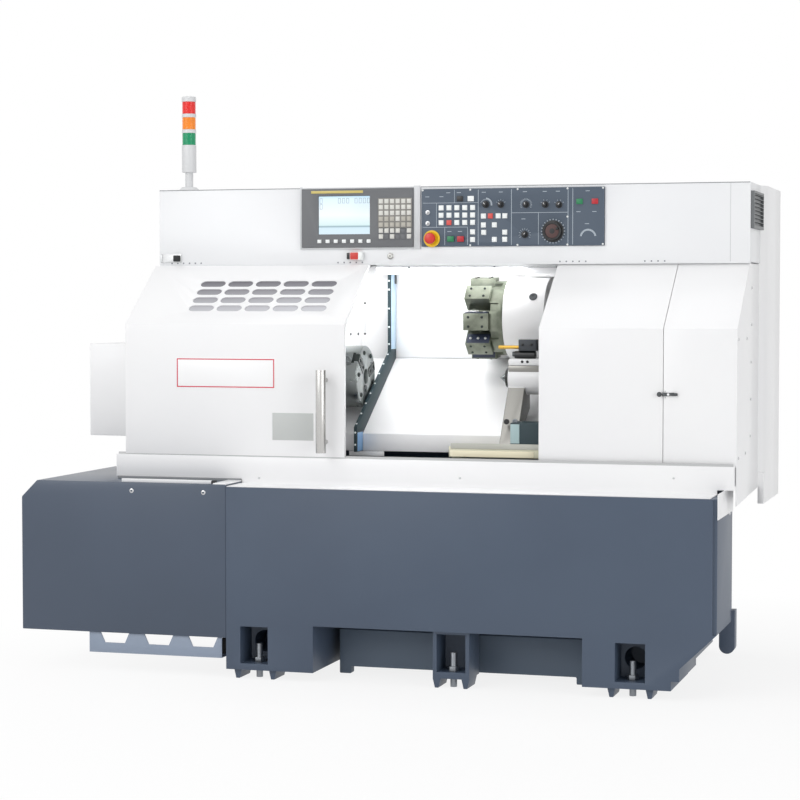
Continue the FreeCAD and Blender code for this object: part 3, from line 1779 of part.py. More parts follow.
# The tailstock body: a foot on the way, and two webs that lean back over the cover's corner to the
# barrel.
tail = new_body()
tail_foot = tail_way_top + d.slide_gap
web_back = d.axis_depth + d.barrel_radius / 2
tail_section = [
    (d.tail_web_front, tail_foot),
    (d.tail_way_back, tail_foot),
    (d.tail_way_back, cover_level(d.tail_way_back, -d.tail_web_gap)),
    (web_back, cover_level(web_back, -d.tail_web_gap)),
    (web_back, axis_height),
    (d.axis_depth - d.barrel_radius / 2, axis_height),
]
for x in (d.tail_left, d.tail_left + d.tail_length - d.tail_web):
    raised(tail, "YZ_Plane", x, [tail_section], d.tail_web)
foot_section = rectangle(
    d.tail_way_front, tail_foot, d.tail_way_back - d.tail_way_front, d.tail_foot_height
)
foot_left = d.tail_left + d.tail_foot_inset
raised(tail, "YZ_Plane", foot_left, [foot_section], d.tail_length - d.tail_foot_inset)
barrel = Circle(d.axis_depth, axis_height, d.barrel_radius)
raised(tail, "YZ_Plane", d.tail_left, [barrel], d.tail_length)
quill_hole = Circle(d.axis_depth, axis_height, d.quill_radius + d.running_fit)
sunk(tail, "YZ_Plane", d.tail_left, [quill_hole], d.quill_length)
node("tailstock_body", tail)

# The quill slides in the barrel, and the live centre turns in the quill.
quill_left = d.tail_left - d.quill_out
quill_bar = rod(quill_left, d.axis_depth, axis_height, d.quill_radius, d.quill_length, "x")
socket_radius = d.centre_shank_radius + d.running_fit
socket = rod(quill_left, d.axis_depth, axis_height, socket_radius, d.centre_shank, "x")
node("quill", cut(quill_bar, [socket]))
neck_left = quill_left - d.slide_gap - d.centre_neck
tip_left = neck_left - d.centre_tip
centre_parts = [
    rod(neck_left, d.axis_depth, axis_height, d.centre_radius, d.centre_neck, "x"),
    taper(tip_left, d.axis_depth, axis_height, 0, d.centre_radius, d.centre_tip, "x"),
    rod(
        neck_left,
        d.axis_depth,
        axis_height,
        d.centre_shank_radius,
        d.centre_neck + d.centre_shank,
        "x",
    ),
]
node("live_centre", fused(centre_parts))

# --------------------------------------------------------------------------------------- the control

# The display unit: bezel, sunken screen, a field of keys and a row of keys under the screen.
display = new_body()
display_front = d.console_front - d.display_proud
bezel = rectangle(d.display_left, display_bottom, d.display_width, d.display_height)
raised(display, "XZ_Plane", display_front, [bezel], d.display_proud + d.display_sunk)
screen = rectangle(
    d.display_left + d.screen_left,
    display_bottom + d.screen_bottom,
    d.screen_width,
    d.screen_height,
)
sunk(display, "XZ_Plane", display_front, [screen], d.screen_sunk)
key_column = [
    rectangle(
        d.display_left + d.keys_left,
        display_bottom + d.keys_bottom + d.key_pitch * i,
        d.key_size,
        d.key_size,
    )
    for i in range(int(d.key_rows.number))
]
key_front = display_front - d.key_proud
keys = raised(display, "XZ_Plane", key_front, key_column, d.key_proud)
repeated(display, keys, "H_Axis", d.key_columns, d.key_pitch * (d.key_columns - 1))
softkey = rectangle(
    d.display_left + d.screen_left, display_bottom + d.key_size, d.key_size, d.key_size * 2 / 3
)
softkeys = raised(display, "XZ_Plane", key_front, [softkey], d.key_proud)
softkey_row = d.softkey_pitch * (d.softkey_count - 1)
repeated(display, softkeys, "H_Axis", d.softkey_count, softkey_row)
node("display_unit", display)

# The operator panel, bored for the stems of the knobs and buttons.
panel = new_body()
panel_front = d.console_front - d.panel_proud
panel_thick = d.panel_proud + d.panel_sunk
panel_outline = rectangle(d.panel_left, panel_bottom, d.panel_width, d.panel_height)
raised(panel, "XZ_Plane", panel_front, [panel_outline], panel_thick)


def on_panel(x, z):
    return d.panel_left + x, panel_bottom + z


estop_place = on_panel(d.estop_x, d.estop_z)
start_place = on_panel(d.start_x, d.buttons_z)
hold_place = on_panel(d.hold_x, d.buttons_z)
feed_place = on_panel(d.feed_knob_x, d.feed_knob_z)
mode_place = on_panel(d.mode_knob_x, d.mode_knob_z)
wheel_place = on_panel(d.handwheel_x, d.handwheel_z)
estop_collar = Circle(*estop_place, d.estop_collar)
collar_thick = d.estop_collar_thick
raised(panel, "XZ_Plane", panel_front - collar_thick, [estop_collar], collar_thick)
stem_holes = [
    Circle(*estop_place, d.estop_stem + d.button_hole_gap),
    Circle(*start_place, d.button_radius + d.button_hole_gap),
    Circle(*hold_place, d.button_radius + d.button_hole_gap),
    Circle(*feed_place, d.knob_stem + d.running_fit),
    Circle(*mode_place, d.knob_stem + d.running_fit),
    Circle(*wheel_place, d.knob_stem + d.running_fit),
]
sunk(panel, "XZ_Plane", panel_front - collar_thick, stem_holes, panel_thick + collar_thick)
node("operator_panel", panel)

# Emergency stop: a mushroom head on a stem.
estop_stem_length = d.estop_out - d.estop_head + d.button_in
estop_x, estop_z = estop_place
stop_button = [
    taper(
        estop_x,
        panel_front - d.estop_out,
        estop_z,
        d.estop_radius * 0.75,
        d.estop_radius,
        d.estop_head,
        "y",
    ),
    rod(
        estop_x,
        panel_front - d.estop_out + d.estop_head,
        estop_z,
        d.estop_stem,
        estop_stem_length,
        "y",
    ),
]
node("emergency_stop", fused(stop_button))

for name, (x, z) in (("cycle_start_button", start_place), ("feed_hold_button", hold_place)):
    length = d.button_out + d.button_in
    node(name, rod(x, panel_front - d.button_out, z, d.button_radius, length, "y"))


def knob(name, place, radius, out):
    """A knob that turns on a stem in the panel."""
    x, z = place
    face = panel_front - d.knob_gap
    grip = taper(x, face - out, z, radius * 0.88, radius, out, "y")
    stem = rod(x, face - out, z, d.knob_stem, out + d.knob_gap + d.panel_proud, "y")
    return node(name, fused([grip, stem]))


knob("feed_override_knob", feed_place, d.knob_radius, d.knob_out)
knob("mode_knob", mode_place, d.knob_radius, d.knob_out)

# The hand pulse wheel: a rimmed disc with a raised hub.
wheel_x, wheel_z = wheel_place
wheel_face = panel_front - d.knob_gap
wheel_parts = [
    rod(wheel_x, wheel_face - d.handwheel_out, wheel_z, d.handwheel_radius, d.handwheel_out, "y"),
    rod(
        wheel_x,
        wheel_face - d.handwheel_out,
        wheel_z,
        d.knob_stem,
        d.handwheel_out + d.knob_gap + d.panel_proud,
        "y",
    ),
]
wheel_dish = rod(
    wheel_x,
    wheel_face - d.handwheel_out,
    wheel_z,
    d.handwheel_hub,
    d.key_proud * 2,
    "y",
)
node("handwheel", cut(fused(wheel_parts), [wheel_dish]))

# The door's interlock switch and the key lock, both on the console's lower front.
node(
    "interlock_switch",
    block(
        d.interlock_x,
        d.console_front - d.interlock_out,
        interlock_z,
        d.interlock_width,
        d.interlock_out,
        d.interlock_height,
    ),
)
node(
    "key_switch",
    rod(d.lock_x, d.console_front - d.lock_out, lock_z, d.lock_radius, d.lock_out, "y"),
)

# ------------------------------------------------------------- door stop, end guard and signal tower

stop_parts = [
    block(
        d.stop_x,
        d.console_front - d.sheet,
        stop_z,
        d.stop_width,
        d.sheet,
        d.stop_height,
    ),
    block(
        d.stop_x,
        d.console_front - d.stop_out,
        stop_z,
        d.sheet,
        d.stop_out,
        d.stop_height,
    ),
]
node("door_stop", fused(stop_parts))

# The guard over the rear of the spindle, on a narrower neck.
guard = new_body()
guard_neck_left = -d.enclosure_left - d.guard_neck
guard_outline = [
    (d.guard_front, guard_bottom),
    (d.guard_front + d.guard_depth, guard_bottom),
    (d.guard_front + d.guard_depth, guard_top - d.guard_chamfer),
    (d.guard_front + d.guard_depth - d.guard_chamfer, guard_top),
    (d.guard_front, guard_top),
]
guard_left = -d.enclosure_left - d.guard_length
raised(guard, "YZ_Plane", guard_left, [guard_outline], d.guard_length - d.guard_neck)
neck_outline = rectangle(
    d.guard_front + d.guard_neck_inset,
    guard_bottom + d.guard_neck_inset,
    d.guard_depth - d.guard_neck_inset * 2,
    guard_top - guard_bottom - d.guard_neck_inset * 3,
)
raised(guard, "YZ_Plane", guard_neck_left, [neck_outline], d.guard_neck)
sunk(guard, "YZ_Plane", guard_left, [bar_hole], d.guard_length)
node("spindle_end_guard", guard)

# The signal tower: flared foot, neck and base, then three lens sections with rings between them.
foot_top = console_top + d.tower_foot_height
neck_top = foot_top + d.tower_neck
pole_parts = [
    taper(
        d.tower_x,
        d.tower_y,
        console_top,
        d.tower_foot,
        d.tower_radius,
        d.tower_foot_height,
        "z",
    ),
    rod(d.tower_x, d.tower_y, foot_top, d.tower_neck_radius, d.tower_neck, "z"),
    rod(d.tower_x, d.tower_y, neck_top, d.tower_radius, d.tower_base, "z"),
]
node("tower_pole", fused(pole_parts))
lens_bottom = neck_top + d.tower_base
for colour in ("green", "amber", "red"):
    lens_parts = [
        rod(d.tower_x, d.tower_y, lens_bottom, d.lens_radius, d.lens_height, "z"),
        rod(
            d.tower_x,
            d.tower_y,
            lens_bottom + d.lens_height,
            d.tower_radius,
            d.lens_ring if colour != "red" else d.cap_height,
            "z",
        ),
    ]
    node(f"{colour}_lens", fused(lens_parts))
    lens_bottom = lens_bottom + d.lens_height + d.lens_ring

# ------------------------------------------------------------------------------ checks and the files

document.recompute()
for thing in document.Objects:
    if "Invalid" in thing.State or "Error" in thing.State:
        raise ValueError(f"{thing.Label}: {thing.State}")
for name, thing in NODES.items():
    if thing.Shape.isNull() or not thing.Shape.isValid():
        raise ValueError(f"{name} has no valid shape")
os.makedirs("parts", exist_ok=True)
for name, thing in NODES.items():
    thing.Shape.exportStep(f"parts/{name}.step")
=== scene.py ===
import json
from math import cos, radians, sin

import bpy
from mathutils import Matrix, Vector

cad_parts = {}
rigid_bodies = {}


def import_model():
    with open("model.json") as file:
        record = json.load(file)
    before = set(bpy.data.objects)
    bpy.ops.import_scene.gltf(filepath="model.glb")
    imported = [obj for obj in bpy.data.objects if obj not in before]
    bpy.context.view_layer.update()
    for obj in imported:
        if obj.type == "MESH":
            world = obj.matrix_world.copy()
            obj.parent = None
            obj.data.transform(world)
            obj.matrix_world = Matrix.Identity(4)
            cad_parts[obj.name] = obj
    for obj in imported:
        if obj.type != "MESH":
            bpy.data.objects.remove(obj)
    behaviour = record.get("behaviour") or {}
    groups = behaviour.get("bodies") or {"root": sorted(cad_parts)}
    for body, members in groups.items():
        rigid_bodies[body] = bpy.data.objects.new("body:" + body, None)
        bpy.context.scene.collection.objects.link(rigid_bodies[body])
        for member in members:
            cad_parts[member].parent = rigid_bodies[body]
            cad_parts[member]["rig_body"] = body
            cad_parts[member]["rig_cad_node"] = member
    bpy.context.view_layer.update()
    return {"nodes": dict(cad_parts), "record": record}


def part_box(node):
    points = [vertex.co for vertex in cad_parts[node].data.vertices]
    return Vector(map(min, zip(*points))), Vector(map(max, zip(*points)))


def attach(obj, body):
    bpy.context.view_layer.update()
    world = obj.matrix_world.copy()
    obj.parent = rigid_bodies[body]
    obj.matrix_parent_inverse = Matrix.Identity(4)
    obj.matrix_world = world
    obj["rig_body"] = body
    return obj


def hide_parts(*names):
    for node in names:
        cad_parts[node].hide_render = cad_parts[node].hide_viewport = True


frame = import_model()

# ------------------------------------------------------------------- where the machine is seen from
# A long lens from the operator's side, a little to the right of the machine and just under its top,
# so that the front is seen almost flat and the right side very narrow.

MM = 0.001
# The left front corner of the base casting on the floor, which the drawings measure from.
CORNER = Vector(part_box("base_casting")[0])


def at(x, y, z):
    """A point of the machine in millimetres from the base's corner, as a place in the scene."""
    return CORNER + Vector((x, y, z)) * MM


bpy.ops.object.camera_add(location=at(2615.8, -6802.2, 1251.9))
camera = bpy.context.active_object
camera.rotation_euler = (radians(90 - 2.6), 0, radians(16.5))
camera.data.lens = 99.3
camera.data.clip_end = 60
bpy.context.scene.camera = camera

# ------------------------------------------------------------------------------ floor and studio light
# A pale painted floor without a horizon. To the camera and in reflections it shows partly as plain
# white, so the machine keeps only a soft shadow under it.

bpy.context.scene.view_settings.view_transform = "Standard"


def linear(hex_colour):
    """An sRGB hex colour as the linear numbers that a shader takes."""
    parts = [int(hex_colour[i : i + 2], 16) / 255 for i in (1, 3, 5)]
    return [c / 12.92 if c < 0.04045 else ((c + 0.055) / 1.055) ** 2.4 for c in parts] + [1]


def add(tree, kind, settings=(), links=()):
    """Adds a shader node, sets its sockets or properties by name, and links its inputs."""
    node = tree.nodes.new("ShaderNode" + kind)
    for key, value in dict(settings).items():
        if isinstance(key, str) and hasattr(node, key):
            setattr(node, key, value)
        else:
            node.inputs[key].default_value = value
    for key, source in dict(links).items():
        tree.links.new(source, node.inputs[key])
    return node


def either(tree, one, other):
    """The larger of two sockets, so that it is one where either of them is."""
    return add(tree, "Math", {"operation": "MAXIMUM"}, {0: one, 1: other}).outputs[0]


def new_material(name):
    """A material with its node tree, its main shader and the object's own coordinates."""
    material = bpy.data.materials.new(name)
    material.use_nodes = True
    tree = material.node_tree
    shader = tree.nodes["Principled BSDF"]
    place = add(tree, "TexCoord").outputs["Object"]
    return material, tree, shader, place


def set_shader(shader, **values):
    """Sets the main shader's sockets, which are written with _ for each space."""
    for key, value in values.items():
        shader.inputs[key.replace("_", " ")].default_value = value


floor_paint, tree, shader, place = new_material("floor_paint")
set_shader(shader, Base_Color=linear("#FAFAFA"), Roughness=0.65, Specular_IOR_Level=0.1)
rays = add(tree, "LightPath")
seen = either(tree, rays.outputs["Is Camera Ray"], rays.outputs["Is Glossy Ray"])
from_machine = add(tree, "VectorMath", {"operation": "LENGTH"}, {0: place})
whiter = add(
    tree,
    "MapRange",
    {"From Min": 1.0, "From Max": 2.6, "To Min": 0.84, "To Max": 1.0},
    {"Value": from_machine.outputs["Value"]},
)
share = add(tree, "Math", {"operation": "MULTIPLY"}, {0: seen, 1: whiter.outputs[0]})
white = add(tree, "Emission", {"Color": (1, 1, 1, 1), "Strength": 1.0})
mixed = add(
    tree, "MixShader", (), {0: share.outputs[0], 1: shader.outputs[0], 2: white.outputs[0]}
)
tree.links.new(mixed.outputs[0], tree.nodes["Material Output"].inputs["Surface"])

bpy.ops.object.select_all(action="DESELECT")
bpy.ops.mesh.primitive_plane_add(size=60, location=at(1200, 0, -0.5))
floor = bpy.context.active_object
floor.name = "floor"
floor.data.materials.append(floor_paint)

world = bpy.data.worlds.new("studio")
bpy.context.scene.world = world
world.use_nodes = True
tree = world.node_tree
background = tree.nodes["Background"]
set_shader(background, Color=(0.98, 0.985, 1.0, 1), Strength=0.45)
rays = add(tree, "LightPath")
seen = either(tree, rays.outputs["Is Camera Ray"], rays.outputs["Is Transmission Ray"])
seen = either(tree, seen, rays.outputs["Is Glossy Ray"])
white = add(tree, "Background", {"Color": (1, 1, 1, 1), "Strength": 1.0})
mixed = add(tree, "MixShader", (), {0: seen, 1: background.outputs[0], 2: white.outputs[0]})
tree.links.new(mixed.outputs[0], tree.nodes["World Output"].inputs["Surface"])

# A wide soft box high at the front left, a weaker one at the right, and one over the machine.
for name, spot, aim, size, power in (
    ("key_light", (-2200, -4200, 3600), (700, 300, 900), 4.2, 134),
    ("fill_light", (5600, -2700, 1900), (900, 300, 900), 3.0, 76),
    ("top_light", (700, 200, 4600), (700, 300, 1000), 3.5, 40),
):
    bpy.ops.object.light_add(type="AREA", location=at(*spot))
    light = bpy.context.active_object
    light.name = name
    light.data.size = size
    light.data.energy = power
    light.rotation_euler = (at(*aim) - light.location).to_track_quat("-Z", "Y").to_euler()

# The work lamp of the machine itself, which lights the covers and the turret from above the opening.
bpy.ops.object.light_add(type="AREA", location=at(600, 500, 1366))
work_lamp = bpy.context.active_object
work_lamp.name = "work_lamp"
work_lamp.data.shape = "RECTANGLE"
work_lamp.data.size = 0.6
work_lamp.data.size_y = 0.12
work_lamp.data.energy = 3.8
work_lamp.rotation_euler = (radians(12), 0, 0)
work_lamp.visible_camera = False
work_lamp.visible_glossy = False

# --------------------------------------------------------------------------------- the base casting
# One grey-iron casting, fettled, filled and sprayed blue-grey. Its corners are rounded by the pattern
# and by the filler, and the feet have pockets for the levelling screws.

BODIES = frame["record"]["behaviour"]["bodies"]
BODY_OF = {node: body for body, nodes in BODIES.items() for node in nodes}


def noise(tree, place, scale, detail=2.0):
    """A cloudy pattern over a place."""
    return add(tree, "TexNoise", {"Scale": scale, "Detail": detail}, {"Vector": place}).outputs[0]


def ramp(tree, source, stops):
    """Colours a pattern by stops of (position, hex colour), from the lowest to the highest."""
    node = add(tree, "ValToRGB", (), {0: source})
    marks = node.color_ramp.elements
    marks[0].position, marks[1].position = stops[0][0], stops[-1][0]
    for position, _ in stops[1:-1]:
        marks.new(position)
    for mark, (_, colour) in zip(marks, stops):
        mark.color = linear(colour)
    return node.outputs[0]


def raised(tree, shader, source, strength, height):
    """Lets a pattern raise the surface by a height in metres."""
    bump = add(tree, "Bump", {"Strength": strength, "Distance": height}, {"Height": source})
    tree.links.new(bump.outputs[0], shader.inputs["Normal"])


def glossed(tree, shader, source, low, high, start=0.0, end=1.0):
    """Lets a pattern vary the roughness between two values."""
    limits = {"From Min": start, "From Max": end, "To Min": low, "To Max": high}
    spread = add(tree, "MapRange", limits, {"Value": source})
    tree.links.new(spread.outputs[0], shader.inputs["Roughness"])


def sprayed(name, colour, shade, roughness, peel_mm, relief, clear=0.0):
    """Paint sprayed on metal: one colour that clouds very slightly, with the waviness of orange peel."""
    material, tree, shader, place = new_material(name)
    cloud = noise(tree, place, 1.8, 4.0)
    tint = ramp(tree, cloud, ((0.3, shade), (0.7, colour)))
    tree.links.new(tint, shader.inputs["Base Color"])
    raised(tree, shader, noise(tree, place, 1000 / peel_mm), relief, 0.001)
    glossed(tree, shader, cloud, roughness - 0.04, roughness + 0.05, 0.3, 0.7)
    set_shader(shader, IOR=1.5, Coat_Weight=clear, Coat_Roughness=0.12)
    return material


def metal(name, colour, roughness, gloss, scale, detail, metallic=1.0):
    """Bare metal of one colour, whose gloss varies in cloudy spots."""
    material, tree, shader, place = new_material(name)
    set_shader(shader, Base_Color=linear(colour), Metallic=metallic, Roughness=roughness)
    glossed(tree, shader, noise(tree, place, scale, detail), *gloss)
    return material


def only(piece):
    """Deselects everything and takes this piece in hand."""
    bpy.ops.object.select_all(action="DESELECT")
    piece.select_set(True)
    bpy.context.view_layer.objects.active = piece
    return piece


def take_all(piece):
    """Takes the piece in hand in edit mode, with all of it selected."""
    only(piece)
    bpy.ops.object.mode_set(mode="EDIT")
    bpy.ops.mesh.select_all(action="SELECT")


def let_go():
    """Leaves edit mode with nothing selected."""
    bpy.ops.mesh.select_all(action="DESELECT")
    bpy.ops.object.mode_set(mode="OBJECT")


def rounded(piece, radius, segments=2, angle=35):
    """Rounds the piece's sharp edges by a radius in millimetres, and smooths what is curved."""
    only(piece)
    bevel = piece.modifiers.new("rounding", "BEVEL")
    bevel.width = radius * MM
    bevel.segments = segments
    bevel.limit_method = "ANGLE"
    bevel.angle_limit = radians(angle)
    bevel.use_clamp_overlap = True
    bpy.ops.object.modifier_apply(modifier=bevel.name)
    bpy.ops.object.shade_smooth_by_angle(angle=radians(32))
    return piece


def dressed(piece, material, body):
    """Gives a finished piece its material, and lets it move with its body."""
    piece.data.materials.clear()
    piece.data.materials.append(material)
    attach(piece, body)
    return piece


def finished_copy(node, material, radius, segments=2):
    """The solid of a node with its edges rounded as on the real piece, in place of the node."""
    only(frame["nodes"][node])
    bpy.ops.object.duplicate()
    piece = bpy.context.active_object
    bpy.ops.object.parent_clear(type="CLEAR_KEEP_TRANSFORM")
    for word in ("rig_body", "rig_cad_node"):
        if word in piece:
            del piece[word]
    piece.name = node + "_piece"
    take_all(piece)
    bpy.ops.mesh.remove_doubles(threshold=0.00001)
    bpy.ops.mesh.dissolve_limited(angle_limit=radians(0.5))
    let_go()
    rounded(piece, radius, segments)
    dressed(piece, material, BODY_OF[node])
    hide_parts(node)
    return piece


def coat(node, material):
    """A node whose solid is right as it is gets its real finish."""
    for holder in frame["nodes"][node].material_slots:
        holder.material = material


casting_paint = sprayed("casting_enamel", "#495668", "#445062", 0.42, 5, 0.12)
finished_copy("base_casting", casting_paint, 4, 3)


def turned(name, centre, direction, rings, sides=40):
    """A round piece as a lathe makes it: rings of (distance along the axis, radius) in millimetres."""
    direction = Vector(direction).normalized()
    turn = Vector((0, 0, 1)).rotation_difference(direction)
    before, old = rings[0]
    bpy.ops.object.select_all(action="DESELECT")
    bpy.ops.mesh.primitive_circle_add(
        vertices=sides,
        radius=old * MM,
        fill_type="NGON",
        location=centre + direction * before * MM,
        rotation=turn.to_euler(),
    )
    piece = bpy.context.active_object
    piece.name = name
    bpy.ops.object.transform_apply(location=True, rotation=True, scale=True)
    take_all(piece)
    for distance, radius in rings[1:]:
        step = direction * (distance - before) * MM
        bpy.ops.mesh.extrude_region_move(TRANSFORM_OT_translate={"value": step})
        middle = centre + direction * distance * MM
        bpy.ops.transform.resize(value=[radius / old] * 3, center_override=middle)
        before, old = distance, radius
    bpy.ops.mesh.select_all(action="SELECT")
    bpy.ops.mesh.normals_make_consistent(inside=False)
    let_go()
    bpy.ops.object.shade_smooth_by_angle(angle=radians(32))
    return piece


def repeated(piece, shifts):
    """Copies what the piece holds to further places, each a shift in millimetres from the first."""
    take_all(piece)
    last = Vector((0, 0, 0))
    for shift in shifts:
        shift = Vector(shift)
        bpy.ops.mesh.duplicate_move(TRANSFORM_OT_translate={"value": (shift - last) * MM})
        last = shift
    let_go()
    return piece


def screws(name, places, direction, radius, material, body="machine"):
    """Button-head screws with a round socket, their heads standing out along a direction."""
    first = Vector(places[0])
    r = radius
    rings = [(-0.2, r), (0.3 * r, r), (0.5 * r, 0.86 * r), (0.62 * r, 0.62 * r), (0.66 * r, 0.44 * r)]
    rings += [(0.66 * r, 0.4 * r), (0.25 * r, 0.36 * r)]
    piece = turned(name, at(*first), direction, rings, 16)
    repeated(piece, [Vector(spot) - first for spot in places[1:]])
    return dressed(piece, material, body)


# The levelling screws are plain bright steel that has gone dull, in dark pockets.
dull_steel = metal("dull_machined_steel", "#8B8F94", 0.45, (0.34, 0.6), 60, 6)
finished_copy("levelling_screws", dull_steel, 0.8)

# ------------------------------------------------------------- the left box, its bracket and the tank
# The box over the chip outlet is folded sheet steel in nearly the same blue-grey, screwed to the base
# with two bright screws. Its bracket is a paler blue-grey. The coolant tank under the base is drawn in
# a paler blue-grey than the base's own paint: painted light in the recess under the base.

# The way that most screws, buttons and knobs face: towards the operator.
FORWARD = (0, -1, 0)


def round_piece(name, spot, direction, rings, sides, material, body="machine", slot="bare_steel"):
    """A round piece at a point in millimetres, in its finish and fixed to its body."""
    return dressed(turned(name, at(*spot), direction, rings, sides), material, body)


box_paint = sprayed("sheet_steel_enamel", "#434F61", "#3F4B5C", 0.36, 3, 0.04, 0.2)
finished_copy("left_base_box", box_paint, 3, 3)
bracket_paint = sprayed("bracket_enamel", "#94A0B2", "#8C98AA", 0.36, 3, 0.06)
finished_copy("left_box_bracket", bracket_paint, 0.8)
# The tank's colour is the base's paint made paler, painted light where the lamps reach little.
tank_paint_painted_light = sprayed("tank_enamel_painted_light", "#647282", "#5D6A79", 0.5, 4, 0.1)
finished_copy("coolant_tank", tank_paint_painted_light, 4, 3)

zinc, tree, shader, place = new_material("zinc_plated_steel")
set_shader(shader, Base_Color=linear("#C9CACB"), Metallic=1.0, Roughness=0.3)
spangle = add(tree, "TexVoronoi", {"Scale": 900.0}, {"Vector": place})
glossed(tree, shader, spangle.outputs["Distance"], 0.22, 0.42)
screws("box_screws", [(-336, 4.4, 614), (-79, 4.4, 614)], FORWARD, 9, zinc)
rings = [(0, 9), (9, 12), (9, 17), (15, 17)]
round_piece("drain_fitting", (-17, 60, 112), (1, 0, 0), rings, 6, dull_steel)

# ------------------------------------------------------------------- the white sheet metal enclosure
# Folded sheet steel with white powder coat, half glossy, with rounded folds: the apron with its sill,
# the covers of both ends, the roof and back, and the cabinet with its door behind the right end.

white_coat = sprayed("white_powder_coat", "#F5F5F5", "#F2F2F3", 0.33, 2, 0.05, 0.15)
console_coat = sprayed("pale_grey_powder_coat", "#EEEFF0", "#EAEBED", 0.35, 2, 0.05, 0.15)
for node, radius in (
    ("apron", 1.2),
    ("headstock_cover", 1.2),
    ("end_cover", 1.0),
    ("rear_cover", 1.2),
    ("rear_cabinet", 3),
    ("spindle_end_guard", 4),
):
    finished_copy(node, white_coat, radius)
finished_copy("console", console_coat, 1.2)
vent_grey = sprayed("vent_grey_enamel", "#6B6E70", "#646769", 0.4, 3, 0.05)
coat("side_vent", vent_grey)
# A darker grey for painted shade behind the vent's slats.
slat_shade = sprayed("slat_shade_grey", "#56595B", "#515456", 0.6, 3, 0.03)

# Button-head screws hold the folded side to the frame inside, and the apron to the base.
side_places = [(504, 1291), (501, 1171), (193, 1127), (389, 1127), (492, 1047), (489, 925)]
side_places += [(486, 804), (366, 755), (203, 749)]
for name, places, direction, radius in (
    ("side_screws", [(1660, y, z) for y, z in side_places], (1, 0, 0), 5),
    ("flange_bolt", [(1657, 30, 592)], (1, 0, 0), 7),
    ("apron_screws", [(63, 150, 654), (761, 150, 670), (1464, 150, 686)], FORWARD, 4),
):
    screws(name, places, direction, radius, zinc)

# ---------------------------------------------------------------------------- rails and the door stop
# Ground steel rails on the sill carry the doors. The stop at the console's left end is a bent steel
# plate with a rubber pad.


def ground(name, colour, roughness, gloss, lay):
    """Metal ground or brushed along one axis, whose fine lines vary its gloss."""
    material, tree, shader, place = new_material(name)
    set_shader(shader, Base_Color=linear(colour), Metallic=1.0, Roughness=roughness)
    along = add(tree, "Mapping", {"Scale": lay}, {"Vector": place})
    lines = noise(tree, along.outputs[0], 1.0, 3.0)
    glossed(tree, shader, lines, *gloss)
    return material, tree, shader, lines


ground_steel, tree, shader, lines = ground(
    "ground_steel", "#BDBEBF", 0.3, (0.2, 0.4), (4, 700, 700)
)
raised(tree, shader, lines, 0.08, 0.0005)
for node in ("door_rails", "bed_ways", "z_screw", "draw_tube", "motor_pulley", "chip_trough"):
    coat(node, ground_steel)
finished_copy("door_stop", zinc, 0.8)

black_rubber, tree, shader, place = new_material("black_nitrile_rubber")
set_shader(shader, Base_Color=linear("#1C1D1F"), Roughness=0.7, IOR=1.52)
raised(tree, shader, noise(tree, place, 1200), 0.2, 0.0004)


def slab(name, low, high):
    """A flat piece between two corners in millimetres, before its edges are rounded."""
    low, high = at(*low), at(*high)
    bpy.ops.object.select_all(action="DESELECT")
    bpy.ops.mesh.primitive_cube_add(size=1, location=(low + high) / 2, scale=high - low)
    piece = bpy.context.active_object
    piece.name = name
    bpy.ops.object.transform_apply(location=True, rotation=True, scale=True)
    return piece


def plate(name, low, high, radius, material, body="machine"):
    """A flat piece with rounded edges, in its finish and fixed to its body."""
    return dressed(rounded(slab(name, low, high), radius), material, body)


plate("stop_pad", (-358, 425, 1386), (-333, 436.5, 1408), 3, black_rubber)

# The doors hang behind the console, and the screws of their hangers show along its lower edge. A pale
# strip with three screws closes the gap behind them. The console is two sheets that meet in a seam.
rows = ((-366, -234), (249, 350), (1029, 1121), (1316, 1400))
hanger_spots = [(x, 437, 1380) for low, high in rows for x in range(low, high, 22)]
screws("hanger_screws", hanger_spots, FORWARD, 2.6, dull_steel)
plate("gap_strip", (372, 484, 1340), (1440, 486, 1374.5), 0.5, console_coat)
line_grey = sprayed("seam_grey", "#8C8F92", "#85888B", 0.5, 3, 0.02)
seam_pale = sprayed("seam_pale_grey", "#C4C6C7", "#BEC0C2", 0.5, 3, 0.02)
# A white lip stands on the left box under the apron. Its back leg is drawn mid grey, painted shade in
# the gap under the apron, and the black block at its right end is painted shade in the gap there. A
# rubber block fills the corner between the box's bracket and the base.
plate("box_lip", (-379, 18, 641.5), (-57, 21, 653.5), 0.8, white_coat)
# The lip's back leg in seam grey is painted shade under the apron.
plate("box_lip_back_painted_shade", (-448, 143, 641.5), (-1, 147, 651), 0.3, line_grey)
plate("box_lip_end", (-46, 3, 641.5), (0, 149, 646), 0.8, white_coat)
# This black block at the lip's right end is painted shade in the gap between the lip and the base.
plate("box_lip_gap_painted_shade", (-57, 16, 641.5), (-46, 40, 652), 0.8, black_rubber)
plate("hose_block", (-50, 74, 62), (-6, 104, 118), 3, black_rubber)
